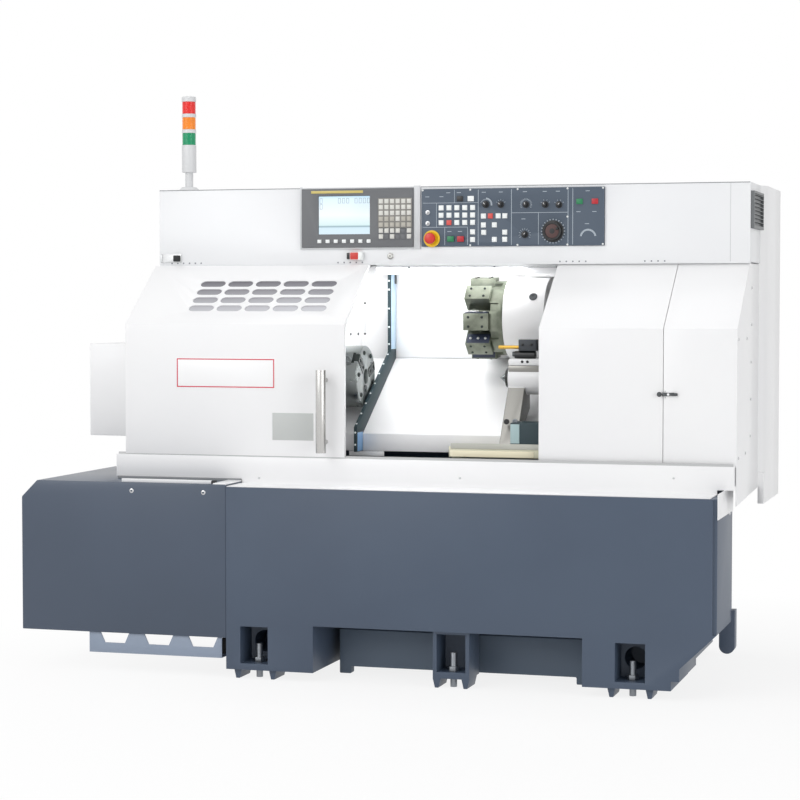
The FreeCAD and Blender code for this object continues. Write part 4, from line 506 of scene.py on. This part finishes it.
# The back is closed by three panels with seams, screws and two groups of pressed louvres.
back = (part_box("rear_cover")[1][1] - CORNER.y) / MM
for number, x in enumerate((210, 830)):
    plate(f"back_seam_{number}", (x, back - 0.3, 690), (x + 1.8, back + 0.4, 1590), 0.2, seam_pale)
columns = (-400, -105, 190, 231, 520, 810, 851, 1140, 1430)
back_spots = [(x, back, z) for x in columns for z in (710, 1000, 1290, 1580)]
screws("back_screws", back_spots, (0, 1, 0), 4.5, zinc)
for number, x in enumerate((300, 940)):
    louvres = slab(f"back_louvres_{number}", (x, back - 1, 1330), (x + 180, back + 4, 1338))
    repeated(rounded(louvres, 2), [(0, 0, 20 * i) for i in range(1, 9)])
    dressed(louvres, white_coat, "machine")
plate("gap_line", (372, 483.6, 1361), (1440, 484.2, 1363.5), 0.2, line_grey)
screws("gap_screws", [(x, 483.6, 1362) for x in (490, 792, 1010)], FORWARD, 4, dull_steel)
low, high = (-412, 438.2, 1371.5), (1660, 483, 1375.3)
plate("track_cover", low, high, 0.1, console_coat)
plate("roof_edge", (-412, 436.3, 1634.4), (1662, 437.3, 1636.9), 0.2, line_grey)
# The dark grey plate behind the side vent's slats is painted shade in the vent's openings.
plate("vent_back", (1663.1, 445, 1489), (1664, 683, 1605), 0.1, slat_shade)
low, high = (1597.4, 436.7, 1377), (1599, 437.4, 1635)
plate("console_seam", low, high, 0.2, seam_pale)

# ----------------------------------------------------------------------------------- the main door
# A folded pan with a leaning upper half, punched with rows of round-ended slots. A grey pane behind
# them keeps the chips in.

finished_copy("main_door", white_coat, 1.2)

# The pane's colour runs from pale grey at its foot to dark grey at its top.
pane_steel, tree, shader, place = new_material("grey_backing_pane")
set_shader(shader, Metallic=0.6, Roughness=0.38)
span = add(tree, "SeparateXYZ", (), {0: place})
low_z, high_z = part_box("door_window")[0][2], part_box("door_window")[1][2]
height = add(
    tree, "MapRange", {"From Min": low_z, "From Max": high_z}, {"Value": span.outputs["Z"]}
)
fade = ramp(tree, height.outputs[0], ((0.0, "#C4C4C9"), (1.0, "#6B6A70")))
tree.links.new(fade, shader.inputs["Base Color"])
coat("door_window", pane_steel)

# The bare plate on the door: thin white aluminium with a fine red line round its edge.
plate_white = sprayed("plate_white", "#FAFAFA", "#F6F6F6", 0.3, 3, 0.02)
line_red = sprayed("plate_line_red", "#CF3049", "#C62C44", 0.4, 3, 0.02)


def take_front(piece):
    """Takes the piece in hand in edit mode, with only its front face selected."""
    take_all(piece)
    let_go()
    for face in piece.data.polygons:
        face.select = face.normal.y < -0.9
    bpy.ops.object.mode_set(mode="EDIT")
    bpy.ops.mesh.select_mode(type="FACE")


def picture_frame(name, low, high, line, sunk):
    """A flat square ring on an upright front: a slab whose middle is inset and sunk back."""
    piece = slab(name, low, high)
    take_front(piece)
    bpy.ops.mesh.inset(thickness=line * MM, depth=0)
    bpy.ops.transform.translate(value=(0, sunk * MM, 0))
    let_go()
    return piece


low, high = (-236, 149.2, 954), (122, 150.2, 1057)
plate("door_plate", low, high, 0.4, plate_white, "main_door_body")
ring = picture_frame("door_plate_line", (-232, 148.9, 957), (118, 149.8, 1054), 7.5, 0.6)
dressed(ring, line_red, "main_door_body")
label_grey = sprayed("blank_grey_film", "#C6C9C7", "#C0C3C1", 0.45, 4, 0.02)
low, high = (111, 149.4, 783), (256, 150.2, 874)
plate("door_film", low, high, 0.2, label_grey, "main_door_body")

# The handle is a length of brushed stainless tube with turned plugs in its ends, on two posts.
brushed, tree, shader, lines = ground(
    "brushed_stainless_steel", "#C4C3C1", 0.24, (0.16, 0.36), (900, 900, 6)
)
raised(tree, shader, lines, 0.1, 0.0004)
set_shader(shader, Anisotropic=0.5)
finished_copy("door_handle", brushed, 1.5, 3)

# ----------------------------------------------------------------------- the service door and latch
# The second sliding door covers the tailstock. A toggle latch of bright stainless steel holds it to
# the fixed end cover: a base plate with screws, a lever on its pin, and a wire hook over a keeper.

finished_copy("service_door", white_coat, 1.0)
screw_black = metal("blackened_screw_steel", "#55585A", 0.4, (0.32, 0.5), 90, 3, 0.9)
finished_copy("latch_lever", screw_black, 0.6)
low, high = (1426.5, 165.85, 945.72), (1461, 168.9, 956.61)
plate("latch_base", low, high, 0.6, screw_black)
screws("latch_screws", [(1432, 165.9, 961), (1432, 165.9, 941)], FORWARD, 2.6, zinc)
low, high = (1462, 157.5, 946), (1469, 162.2, 956)
plate("latch_grip", low, high, 1.5, screw_black, "latch_body")
rings = [(-0.2, 8), (3, 8), (5, 6.5), (5.4, 4)]
spot = (1414, 162, 951)
round_piece("keeper_knob", spot, FORWARD, rings, 24, screw_black, "service_door_body")

# -------------------------------------------------------------------------- walls inside the opening
# The wall round the chuck and the covers over the bed are white sheet. The steel strip that edges the
# covers beside the chuck is dark teal, held by a row of pale screws.

for node, radius in (("inner_wall", 0.8), ("lower_way_cover", 1.2), ("sliding_way_cover", 0.8)):
    finished_copy(node, white_coat, radius)
teal = sprayed("dark_teal_enamel", "#26393F", "#203238", 0.6, 4, 0.1)
finished_copy("wiper_strip", teal, 0.8)
slope_screws = [(369, 269 + 362 * i / 7, 834.7 + 225 * i / 7) for i in range(8)]
front_screws = [(369, 647, z) for z in (1319, 1288, 1221, 1156, 1096)]
screw_white = sprayed("screw_head_white", "#F1F3F2", "#E9ECEB", 0.35, 2, 0.02)
for name, places, direction in (
    ("strip_screws", front_screws + [(369, 253, 765), (369, 253, 806)], FORWARD),
    ("slope_screws", slope_screws, (0, -245, 394)),
):
    screws(name, places, direction, 3.4, screw_white)
# The strip's upright sides are covered with a pale blue protective film.
film_blue = sprayed("pale_blue_film", "#BBD3E6", "#AFC9DF", 0.3, 2, 0.02)
plate("film_upper", (375.9, 650, 1078), (376.6, 711, 1368), 0.1, film_blue)
film_deep = sprayed("blue_film", "#7FA9D2", "#739FCB", 0.3, 2, 0.02)
plate("film_lower", (375.9, 256, 743), (376.6, 316, 806), 0.1, film_deep)
plate("strip_clip", (376.4, 690, 1308), (380, 706, 1340), 0.6, screw_black)
screws("return_screws", [(261, 709, 1240), (261, 709, 1131)], FORWARD, 4, screw_black)
screws("wall_screws", [(250, 574, 1132), (250, 660, 1131)], (1, 0, 0), 5, screw_black)
plate("return_seam", (260.3, 708.5, 1137), (261.7, 709.1, 1234), 0.1, line_grey)
plate("trough_cover", (326, 319, 724), (450, 322, 740), 0.5, white_coat)
coat("slant_bed", casting_paint)
coat("headstock_casting", casting_paint)

# ------------------------------------------------------------------------------- chuck and spindle
# A hydraulic chuck of hardened and ground steel. Its face is turned, which leaves fine rings round
# the axis, and six socket screws hold it to the spindle's nose.

axis_y, axis_z = 400, 990
AXIS = at(0, axis_y, axis_z)
turned_steel, tree, shader, place = new_material("turned_and_ground_steel")
set_shader(shader, Base_Color=linear("#8F9493"), Metallic=1.0, Roughness=0.24)
centred = add(tree, "Mapping", {"Location": (0, -AXIS.y, -AXIS.z)}, {"Vector": place})
flat = add(tree, "VectorMath", {"operation": "MULTIPLY", 1: (0, 1, 1)}, {0: centred.outputs[0]})
reach = add(tree, "VectorMath", {"operation": "LENGTH"}, {0: flat.outputs[0]})
rings = add(tree, "Math", {"operation": "MULTIPLY", 1: 2600.0}, {0: reach.outputs["Value"]})
wave = add(tree, "Math", {"operation": "SINE"}, {0: rings.outputs[0]})
raised(tree, shader, wave.outputs[0], 0.12, 0.0003)
glossed(tree, shader, noise(tree, place, 22, 5.0), 0.18, 0.4)
finished_copy("chuck_body", turned_steel, 0.8)
coat("spindle", turned_steel)
dark_steel = metal("hardened_dark_steel", "#454A49", 0.34, (0.26, 0.48), 40, 5)
for i in range(3):
    finished_copy(f"chuck_jaw_{i + 1}", dark_steel, 0.6)
chuck_face = (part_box("chuck_body")[1][0] - CORNER.x) / MM
bolt_circle = 84
spots = []
for i in range(3):
    for offset in (-26, 26):
        angle = radians(110 + 120 * i + offset)
        y, z = axis_y - bolt_circle * sin(angle), axis_z + bolt_circle * cos(angle)
        spots.append((chuck_face, y, z))
screws("chuck_screws", spots, (1, 0, 0), 8, dark_steel, "spindle_body")

# -------------------------------------------------------------------------------- turret and carriage
# The turret disc is hardened steel with a greenish black finish. Blocks of the same steel are bolted
# on it for the tools. It turns on the white painted round housing of the cross slide.

blackened, tree, shader, place = new_material("blackened_tool_steel")
set_shader(shader, Metallic=0.75, Roughness=0.4)
oil = noise(tree, place, 18, 6.0)
tint = ramp(tree, oil, ((0.35, "#5F6558"), (0.65, "#8B9082")))
tree.links.new(tint, shader.inputs["Base Color"])
glossed(tree, shader, oil, 0.28, 0.5)
finished_copy("turret_disc", blackened, 1.2)
finished_copy("tool_holders", blackened, 1.5)
finished_copy("cross_slide", white_coat, 2.5, 3)
# The turret's axis lies 260 mm up the bed's slope from the spindle's.
bed_slope, turret_reach = radians(50), 260
turret_y = axis_y + turret_reach * cos(bed_slope)
turret_z = axis_z + turret_reach * sin(bed_slope)
TURRET = at(696, turret_y, turret_z)


def around(piece, axis, centre, first, step=0, count=1):
    """Turns what the piece holds about an axis, then copies it on by equal steps, in degrees."""
    take_all(piece)
    turn = {"orient_axis": axis, "orient_type": "GLOBAL", "center_override": centre}
    bpy.ops.transform.rotate(value=radians(first), **turn)
    for i in range(count - 1):
        bpy.ops.mesh.duplicate()
        bpy.ops.transform.rotate(value=radians(step), **turn)
    let_go()
    return piece


# A dark clamp plate with three bright screws lies on one side of every tool block, and four dark
# screws hold the block to the disc.
clamp_navy = sprayed("clamp_dark_blue", "#3A4257", "#343B4E", 0.35, 3, 0.04)
clamp_face, block_top = turret_y + 31.5, turret_z + 138
low, high = (700, turret_y + 28.8, turret_z + 96), (779, clamp_face, turret_z + 134)
clamps = plate("tool_clamps", low, high, 0.8, clamp_navy, "turret_body")
clamp_spots = [(x, clamp_face, turret_z + 115) for x in (713, 739, 765)]
clamp_screws = screws("clamp_screws", clamp_spots, (0, 1, 0), 5, zinc, "turret_body")
holder_spots = [(x, turret_y + s, block_top) for x in (714, 762) for s in (-16, 16)]
holder_screws = screws("holder_screws", holder_spots, (0, 0, 1), 4.5, dark_steel, "turret_body")
for piece in (clamps, clamp_screws, holder_screws):
    around(piece, "X", TURRET, 40, 45, 8)
rings = [(-3, 14), (2, 14), (3.4, 12), (3.4, 7), (0.5, 6.5)]
spot = (935, 450, 1262)
round_piece("drum_bolt", spot, (0, -117, 73), rings, 32, screw_black, "cross_slide_body")
coat("saddle", console_coat)
plate("upper_cover", (860, 668, 1331), (1440, 671, 1400), 0.5, white_coat)
low, high = (371, 714, 1046.6), (851, 717, 1052.4)
plate("leaf_lip", low, high, 0.3, console_coat, "carriage_body")

# ------------------------------------------------------------------------------------- the tailstock
# Two ground steel webs on a dark green iron foot carry the white barrel. The hydraulic block for the
# quill stands on it, with a black cylinder and a brass pipe.


def moulded(name, colour, roughness, grain_mm=0.8, relief=0.08):
    """Injection-moulded plastic with the fine grain that the mould leaves."""
    material, tree, shader, place = new_material(name)
    set_shader(shader, Base_Color=linear(colour), Roughness=roughness, IOR=1.53)
    raised(tree, shader, noise(tree, place, 1000 / grain_mm), relief, 0.0003)
    return material


phenolic = moulded("black_phenolic", "#17181A", 0.32)
motor_paint = sprayed("motor_enamel", "#3B4046", "#34383D", 0.5, 3, 0.1)
web_steel = ground("ground_web_steel", "#8B8A86", 0.3, (0.22, 0.42), (500, 500, 5))[0]
tail = finished_copy("tailstock_body", web_steel, 2.5, 3)
tail.data.materials.append(white_coat)
tail.data.materials.append(teal)
# The faces over the webs are the white barrel's, and the low ones behind them the green foot's.
webs_foot, webs_top, foot_left = at(0, 0, 852).z, at(0, 0, 934).z, at(916, 0, 0).x
for face in tail.data.polygons:
    if face.center.z > webs_top:
        face.material_index = 1
    elif face.center.z < webs_foot and face.center.x > foot_left:
        face.material_index = 2
coat("quill", turned_steel)
coat("live_centre", turned_steel)
rings = [(0, 24), (0, 31), (1, 32), (7, 32), (8, 31), (8, 24)]
spot = (865.5, axis_y, axis_z)
round_piece("centre_nut", spot, (-1, 0, 0), rings, 40, phenolic, "quill_body")
brass = metal("drawn_brass", "#C9A24E", 0.28, (0.2, 0.42), 30, 4)
pale_green = sprayed("pale_green_enamel", "#A9BFC0", "#9DB4B6", 0.4, 3, 0.05)
for name, low, high, radius, material in (
    ("valve_base", (874, 346, 1033), (985, 384, 1056), 5, white_coat),
    ("valve_rack", (874, 349, 1012), (985, 372, 1032.5), 1, web_steel),
    ("valve_block", (908, 350, 1082), (969, 384, 1120), 2, motor_paint),
    ("foot_bracket", (918, 197.5, 783), (948, 203, 846), 1, pale_green),
):
    plate(name, low, high, radius, material, "tailstock")
cylinder = [(0, 9), (1, 12), (8, 12.8), (70, 12.8), (72, 11)]
socket = [(0, 9), (5, 9), (6, 7.5), (6, 5), (2, 4.6)]
for name, spot, direction, rings, material in (
    ("valve_cylinder", (892, 366, 1069), (1, 0, 0), cylinder, phenolic),
    ("valve_cap", (884, 366, 1071), (1, 0, 0), [(0, 4), (1, 8), (7, 9), (9, 8)], screw_black),
    ("brass_pipe", (838, 360, 1094), (1, 0, 0), [(0, 5), (1, 6), (71, 6)], brass),
    ("web_bolt", (892, 256, 851), FORWARD, [(0, 9), (7, 9), (8, 7.5), (8, 4)], phenolic),
    ("web_screw", (924, 240, 853), FORWARD, socket, dull_steel),
):
    round_piece(name, spot, direction, rings, 28, material, "tailstock", "hard_steel")
hole_spots = [(922, 350, 1103), (952, 350, 1103), (922, 346, 1046), (940, 346, 1046)]
screws("valve_holes", hole_spots, FORWARD, 4.5, phenolic, "tailstock")

# The way is a ground bar with a cream bearing strip along its front and a grey edge behind it.
way_steel = metal("oiled_ground_way", "#A9A794", 0.35, (0.26, 0.46), 12, 4, 0.7)
finished_copy("tailstock_way", way_steel, 1.0)
cream = sprayed("bearing_strip_cream", "#FBF4DE", "#F3EACB", 0.4, 3, 0.03)
plate("way_strip", (714, 198.6, 737), (996, 200.3, 757), 0.4, cream)
edge_grey = sprayed("way_edge_grey", "#C2C2B9", "#B4B4AB", 0.4, 3, 0.03)
plate("way_edge", (716, 196.4, 763), (1430, 199.7, 781), 0.4, edge_grey)

coat("spindle_motor", motor_paint)
coat("drive_belt", black_rubber)

# ------------------------------------------------------------------------------- the display unit
# A moulded grey bezel with a bright flat screen behind it, a yellow strip over the screen, a row of
# pale keys under it, and a field of pale and darker keys at its right.

bezel_grey = moulded("bezel_polycarbonate", "#66686B", 0.5)
finished_copy("display_unit", bezel_grey, 0.7)
screen_glow, tree, shader, place = new_material("lit_liquid_crystal")
set_shader(shader, Base_Color=linear("#1E2A30"), Roughness=0.25, Emission_Strength=1.0)
span = add(tree, "SeparateXYZ", (), {0: place})
bottom = at(0, 0, 1477).z
level = add(
    tree,
    "MapRange",
    {"From Min": bottom, "From Max": bottom + 0.13},
    {"Value": span.outputs["Z"]},
)
bands = ((0.0, "#DDF0FA"), (0.17, "#D6ECF6"), (0.2, "#8FAAB6"), (0.24, "#DDF3F4"))
bands += ((0.5, "#F2F9FC"), (0.93, "#D9EEFB"), (1.0, "#BFE0F5"))
glow = ramp(tree, level.outputs[0], bands)
tree.links.new(glow, shader.inputs["Emission Color"])
frame_metal = sprayed("frame_silver", "#D5D7D9", "#CDCFD1", 0.3, 2, 0.02)
for name, low, high in (
    ("frame_left", (113, 430, 1425), (120.6, 437, 1640)),
    ("frame_right", (521.4, 430, 1425), (545, 437, 1640)),
    ("frame_top", (120.6, 430, 1632.4), (521.4, 437, 1636.8)),
    ("frame_foot", (120.6, 430, 1425), (521.4, 437, 1431.6)),
):
    plate(name, low, high, 1.2, frame_metal)
readout_ink = moulded("readout_grey", "#5D7180", 0.5)
digit = picture_frame("readout", (252, 429.1, 1583), (261, 429.9, 1600), 2.6, 1.2)
digits = [(15 * i, 0, 0) for i in (1, 2, 4, 5, 6, 7)] + [(-66, 0, 0), (-66, 0, -20)]
dressed(repeated(digit, digits), readout_ink, "machine")
low, high = (182, 429.5, 1477), (366, 431.5, 1607)
plate("screen", low, high, 0.4, screen_glow)
strip_yellow = moulded("strip_yellow", "#CDBB6E", 0.4)
low, high = (156, 423.9, 1617), (343, 425.4, 1626)
plate("yellow_strip", low, high, 0.4, strip_yellow)

key_pale = moulded("key_cap_pale", "#D9D8D2", 0.45)
key_dark = moulded("key_cap_dark", "#B5B1A7", 0.45)
key_white = moulded("key_cap_white", "#F2F5F4", 0.4)
key_red = moulded("key_cap_red", "#D9534C", 0.4)


def key_caps(name, low, size, thick, places, material):
    """Key caps with sides that draw in: one is made at the first place, the rest are its copies."""
    x, y, z = low
    piece = slab(name, (x, y, z), (x + size[0], y + thick, z + size[1]))
    take_front(piece)
    middle = at(x + size[0] / 2, y, z + size[1] / 2)
    bpy.ops.transform.resize(value=(0.86, 1, 0.86), center_override=middle)
    let_go()
    rounded(piece, 0.8, 2, 20)
    repeated(piece, [(px, 0, pz) for px, pz in places if (px, pz) != (0, 0)])
    return dressed(piece, material, "machine")


field_grey = moulded("key_field_grey", "#85837E", 0.5)
plate("key_field", (397, 422.3, 1497), (518, 424, 1598.5), 0.5, field_grey)
# The field has seven rows of six keys, 20 mm apart, counted from its lower left corner.
left, front, foot = 399.5, 420.5, 1459.5
key_size = (16, 16.5)
pale_spots = [(20 * c, 20 * r) for r in (4, 5, 6) for c in range(6)]
pale_spots += [(60, 60), (0, 0), (40, 0), (100, 0), (20, 20), (0, 20), (40, 20), (60, 20), (100, 20)]
dark_spots = [(20 * c, 20 * r) for r in (0, 1) for c in range(6) if (c, r) != (3, 1)]
key_caps("keys_pale", (left, front, foot), key_size, 4, pale_spots, key_pale)
key_caps("keys_dark", (left, front, foot + 40), key_size, 4, dark_spots, key_dark)
softkey_spots = [(29.6 * i, 0) for i in range(7)]
key_caps("softkeys", (178.5, 420.5, 1446.5), (15, 12.5), 4, softkey_spots, key_white)

# ----------------------------------------------------------------------------- the operator panel
# A painted aluminium panel with fine pale printed lines between its groups. White snap keys, black
# rotary knobs with pale scales, the mushroom button on its yellow collar, and the hand wheel.

panel_paint = sprayed("panel_matt_enamel", "#505C6A", "#4B5664", 0.5, 2, 0.04)
finished_copy("operator_panel", panel_paint, 0.8)
PANEL_LEFT, PANEL_LOW, PANEL_FRONT = 550, 1433, 430


def on_panel(x, z, out=0.0):
    """A point on the panel's front, from its lower left corner, standing out by some millimetres."""
    return (PANEL_LEFT + x, PANEL_FRONT - out, PANEL_LOW + z)


print_white = moulded("print_ink_pale", "#B9C3CC", 0.5)
lines = [
    ((198, 3), (199.6, 190)),
    ((313, 3), (314.6, 190)),
    ((507, 3), (508.6, 190)),
    ((523, 3), (524.6, 190)),
    ((406, 4), (407.4, 110)),
    ((314, 110), (507, 111.4)),
    ((4, 64), (161, 65.4)),
    ((81, 4), (82.4, 64)),
    ((161, 4), (162.4, 64)),
    ((4, 146), (198, 147.2)),
    ((115, 147), (116.2, 190)),
    ((52, 65), (53.2, 146)),
]
for number, (low, high) in enumerate(lines):
    rule = slab(f"panel_rule_{number}", on_panel(*low, 0.3), on_panel(*high, -0.2))
    dressed(rounded(rule, 0.1, 1), print_white, "machine")

key_places = [(69 + 27.6 * c, 105 + 25 * r) for c in range(5) for r in (-1, 0, 1)]
key_places += [(179.4, 48), (179.4, 22)]
key_places += [(217, 101), (268, 101), (291, 101), (217, 71), (255, 71), (218, 46), (291, 46)]
key_places += [(255, 22), (291, 22)]
red_places = [(96.6, 80), (241, 101)]
key_places = [p for p in key_places if p not in red_places]
for name, places, material in (
    ("panel_keys", key_places, key_white),
    ("panel_keys_red", red_places, key_red),
):
    first = places[0]
    low = on_panel(first[0] - 9, first[1] - 9, 3.2)
    shifts = [(x - first[0], z - first[1]) for x, z in places]
    key_caps(name, low, (18, 18), 3.4, shifts, material)

# Knobs: a black phenolic skirt and grip with a pale pointer line.
pointer_white = moulded("pointer_fill", "#E6E7E8", 0.5)


def pointer(name, x, z, length, top, foot, angle, body="machine"):
    """A pale line on a knob's face, turned by degrees to the right of upright."""
    line = slab(name, on_panel(x - 0.8, z, top), on_panel(x + 0.8, z + length, foot))
    around(line, "Y", at(*on_panel(x, z)), angle)
    dressed(rounded(line, 0.2, 1), pointer_white, body)


def knob(name, node, x, z, radius, out, angle):
    """A skirted knob with a pointer line, in place of the node's plain one."""
    body = BODY_OF[node]
    rings = [(0.3, radius), (2.0, radius * 0.98), (3.2, radius * 0.72)]
    rings += [(out - 2, radius * 0.62), (out - 0.6, radius * 0.56), (out, radius * 0.42)]
    grip = round_piece(name, on_panel(x, z), FORWARD, rings, 36, phenolic, body, "dark_plastic")
    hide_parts(node)
    pointer(name + "_pointer", x, z, radius * 0.6, out + 0.2, out - 1, angle, body)


knob("feed_override_grip", "feed_override_knob", 225, 140, 12, 18, 40)
knob("mode_grip", "mode_knob", 360, 38, 12, 18, -45)
rings = [(0, 11.5), (2.0, 11.3), (3.2, 8.4), (15, 7.2), (17, 6.4), (17.6, 4.6)]
small_knobs = ((277, 139, 45), (364, 138, 20), (430, 137, 30), (477, 136, -40))
for number, (x, z, angle) in enumerate(small_knobs):
    name, spot = f"panel_knob_{number}", on_panel(x, z)
    round_piece(name, spot, FORWARD, rings, 36, phenolic, slot="dark_plastic")
    pointer(f"panel_knob_line_{number}", x, z, 7, 17.8, 16, angle)


def scale_marks(name, x, z, radius, first, last, count, long=4.0, half=0.6):
    """A ring of short pale marks printed round a knob, between two angles from upright."""
    low, high = on_panel(x - half, z + radius, 0.25), on_panel(x + half, z + radius + long, -0.2)
    step = (last - first) / (count - 1)
    mark = around(slab(name, low, high), "Y", at(*on_panel(x, z)), first, step, count)
    dressed(mark, print_white, "machine")


scale_marks("marks_feed", 225, 140, 15, 70, 0, 6)
scale_marks("marks_rapid", 277, 139, 14, -60, 60, 5)
scale_marks("marks_override", 364, 138, 15, -120, 120, 17, 6)
scale_marks("marks_left", 430, 137, 14, -60, 60, 4)
scale_marks("marks_right", 477, 136, 14, -60, 60, 4)
scale_marks("marks_mode", 360, 38, 15, -120, 120, 11, 6)

# The hand wheel: a black rim round a brown-black dished disc, with a pale scale round it.
wheel_x, wheel_z = 457, 48
spot = on_panel(wheel_x, wheel_z)
wheel = ("handwheel_body", "dark_plastic")
rings = [(0.3, 36.5), (3, 36.5), (4.2, 35), (4.4, 32), (6, 31.5), (18, 31), (19.5, 29.5), (19.5, 25)]
rings += [(16.5, 23.5), (16.0, 12), (16.8, 11), (17.2, 3)]
rim = round_piece("handwheel_rim", spot, FORWARD, rings, 64, phenolic, *wheel)
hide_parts("handwheel")
wheel_brown = moulded("wheel_face_brown", "#4A2E2C", 0.4)
rings = [(15.6, 23.4), (16.8, 23.4), (16.9, 22.6)]
round_piece("handwheel_face", spot, FORWARD, rings, 48, wheel_brown, *wheel)
rings = [(16, 5), (21, 4.4), (23, 4.2), (24, 3)]
spot = on_panel(wheel_x + 17, wheel_z + 8)
round_piece("handwheel_finger", spot, FORWARD, rings, 24, phenolic, *wheel)
scale_marks("marks_wheel", wheel_x, wheel_z, 37.2, 0, 345, 24, 4.5, 1.3)

# The emergency stop: a red mushroom on a stem, over a yellow collar.
stop_red = moulded("mushroom_red", "#D2332A", 0.3)
collar_yellow = moulded("collar_yellow", "#F0C419", 0.4)
rings = [(-1.5, 8.9), (13.5, 8.9), (14, 17.5), (15.5, 19), (20, 19), (23.5, 17.2), (25.3, 13), (26, 6)]
stop = turned("mushroom", at(*on_panel(34, 27)), FORWARD, rings, 48)
dressed(stop, stop_red, "emergency_stop_body")
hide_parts("emergency_stop")
rings = [(2.8, 28.5), (4.2, 28.5), (5.0, 27), (5.2, 23), (4.2, 20.5), (3.0, 12)]
collar = turned("stop_collar", at(*on_panel(37, 26)), FORWARD, rings, 48)
dressed(collar, collar_yellow, "machine")

# Square lit push buttons, green to start and red to hold, and the two of the power supply.
push_green = moulded("push_green", "#1E7B4E", 0.35)
push_red = moulded("push_red", "#B4202C", 0.35)
for name, node, x, material in (
    ("start_cap", "cycle_start_button", 103, push_green),
    ("hold_cap", "feed_hold_button", 138, push_red),
):
    low, high = on_panel(x - 12, 15, 6), on_panel(x + 12, 34, 2.6)
    cap = plate(name, low, high, 1.2, material, BODY_OF[node])
    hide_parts(node)
for name, x, z, material in (
    ("power_on", 547, 146, push_green),
    ("power_off", 599, 146, push_red),
    ("dark_lamp", 135, 160, phenolic),
    ("pale_lamp", 173, 160, key_white),
):
    low, high = on_panel(x - 11, z - 9, 3), on_panel(x + 11, z + 9, -0.5)
    dressed(rounded(slab(name, low, high), 1.2, 3), material, "machine")
rings = [(0, 8), (1.6, 7.6), (2.0, 4), (9, 3.2), (10.5, 4.2), (12.5, 3.6), (13, 2)]
for number, z in enumerate((115, 78)):
    round_piece(f"toggle_{number}", on_panel(22, z), FORWARD, rings, 24, zinc)
scale_marks("marks_load", 576, 27, 22, -80, 80, 44, 6)
scale_marks("arc_feed", 225, 140, 16.5, -5, -100, 34, 6)
panel_spots = [(335, 190), (335, 3), (506, 190), (506, 96), (506, 3), (171, 190), (171, 3)]
panel_spots += [(626, 190), (626, 4), (4, 190)]
panel_spots = [on_panel(x, z) for x, z in panel_spots]
screws("panel_screws", panel_spots, FORWARD, 3.4, screw_white)
# Short printed bars stand where each control has its caption.
bars = [(218, 181), (277, 181), (360, 181), (428, 181), (473, 181), (355, 90), (98, 50), (135, 50)]
bars += [(131, 181), (543, 112), (597, 112), (574, 181), (572, 72), (20, 168), (70, 168), (94, 181)]
caption = rounded(slab("captions", on_panel(211, 180, 0.2), on_panel(225, 181.8, -0.1)), 0.05, 1)
repeated(caption, [(x - 218, 0, z - 181) for x, z in bars[1:]])
dressed(caption, print_white, "machine")

# ------------------------------------------------------------------- interlock and key switch
# The door's interlock is a red moulded block with a dark actuator. The key switch is a bright barrel.

interlock_red = moulded("interlock_red", "#C93A32", 0.4)
finished_copy("interlock_switch", key_white, 3, 3)
low, high = (295.7, 418.6, 1387.7), (330, 437, 1416.3)
plate("interlock_case", low, high, 4, interlock_red)
low, high = (284, 424, 1391), (296, 437.2, 1413)
plate("interlock_actuator", low, high, 1.2, phenolic)
bright = moulded("nickel_plate", "#B9B9B6", 0.2)
set_shader(bright.node_tree.nodes["Principled BSDF"], Metallic=1.0)
rings = [(0, 11), (3, 11), (4, 9.5), (8.5, 8.5), (9, 7.4), (9, 6.6), (7.6, 6.2)]
lock = turned("lock_barrel", at(438, 437, 1401), FORWARD, rings, 36)
dressed(lock, bright, "key_body")
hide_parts("key_switch")
low, high = (436.9, 428.1, 1396.5), (439.1, 430.2, 1405.5)
plate("lock_key_slot", low, high, 0.2, phenolic, "key_body")

# ---------------------------------------------------------------------------------- signal tower
# A pale moulded pole with a flared foot, and three ribbed lenses over one another: green, amber, red.

pale_plastic = moulded("tower_abs", "#D8D9DA", 0.42)
finished_copy("tower_pole", pale_plastic, 1.2, 3)


def lens(name, node, colour, capped):
    """A ribbed lens of tinted plastic that glows faintly in its own colour, painted light for the
    daylight in it, with its ring or cap.
    """
    material, tree, shader, place = new_material(name + "_acrylic")
    set_shader(
        shader,
        Base_Color=linear(colour),
        Roughness=0.22,
        IOR=1.49,
        Emission_Color=linear(colour),
        Emission_Strength=0.18,
    )
    raised(tree, shader, noise(tree, place, 300), 0.05, 0.0003)
    low, high = (Vector(corner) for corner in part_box(node))
    centre = Vector(((low.x + high.x) / 2, (low.y + high.y) / 2, low.z))
    band = 42
    rings = [(0, 23)]
    for i in range(8):
        rings += [(5 * i + 1.2, 23), (5 * i + 2.5, 24.2), (5 * i + 3.8, 24.2), (5 * i + 4.9, 23)]
    rings.append((band, 23))
    piece = dressed(turned(name, centre, (0, 0, 1), rings, 48), material, "machine")
    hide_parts(node)
    top = (high.z - low.z) / MM
    rings = [(band, 24.5), (band + 0.6, 25.4), (top - 1.2, 25.4), (top - 0.3, 24.4), (top, 20)]
    if capped:
        rings[2:] = [(top - 5, 25.4), (top - 1.5, 22), (top, 14)]
    ring = turned(name + "_ring", centre, (0, 0, 1), rings, 48)
    dressed(ring, pale_plastic, "machine")


lens("lens_green", "green_lens", "#1D8F63", False)
lens("lens_amber", "amber_lens", "#E8882A", False)
lens("lens_red", "red_lens", "#D9302C", True)
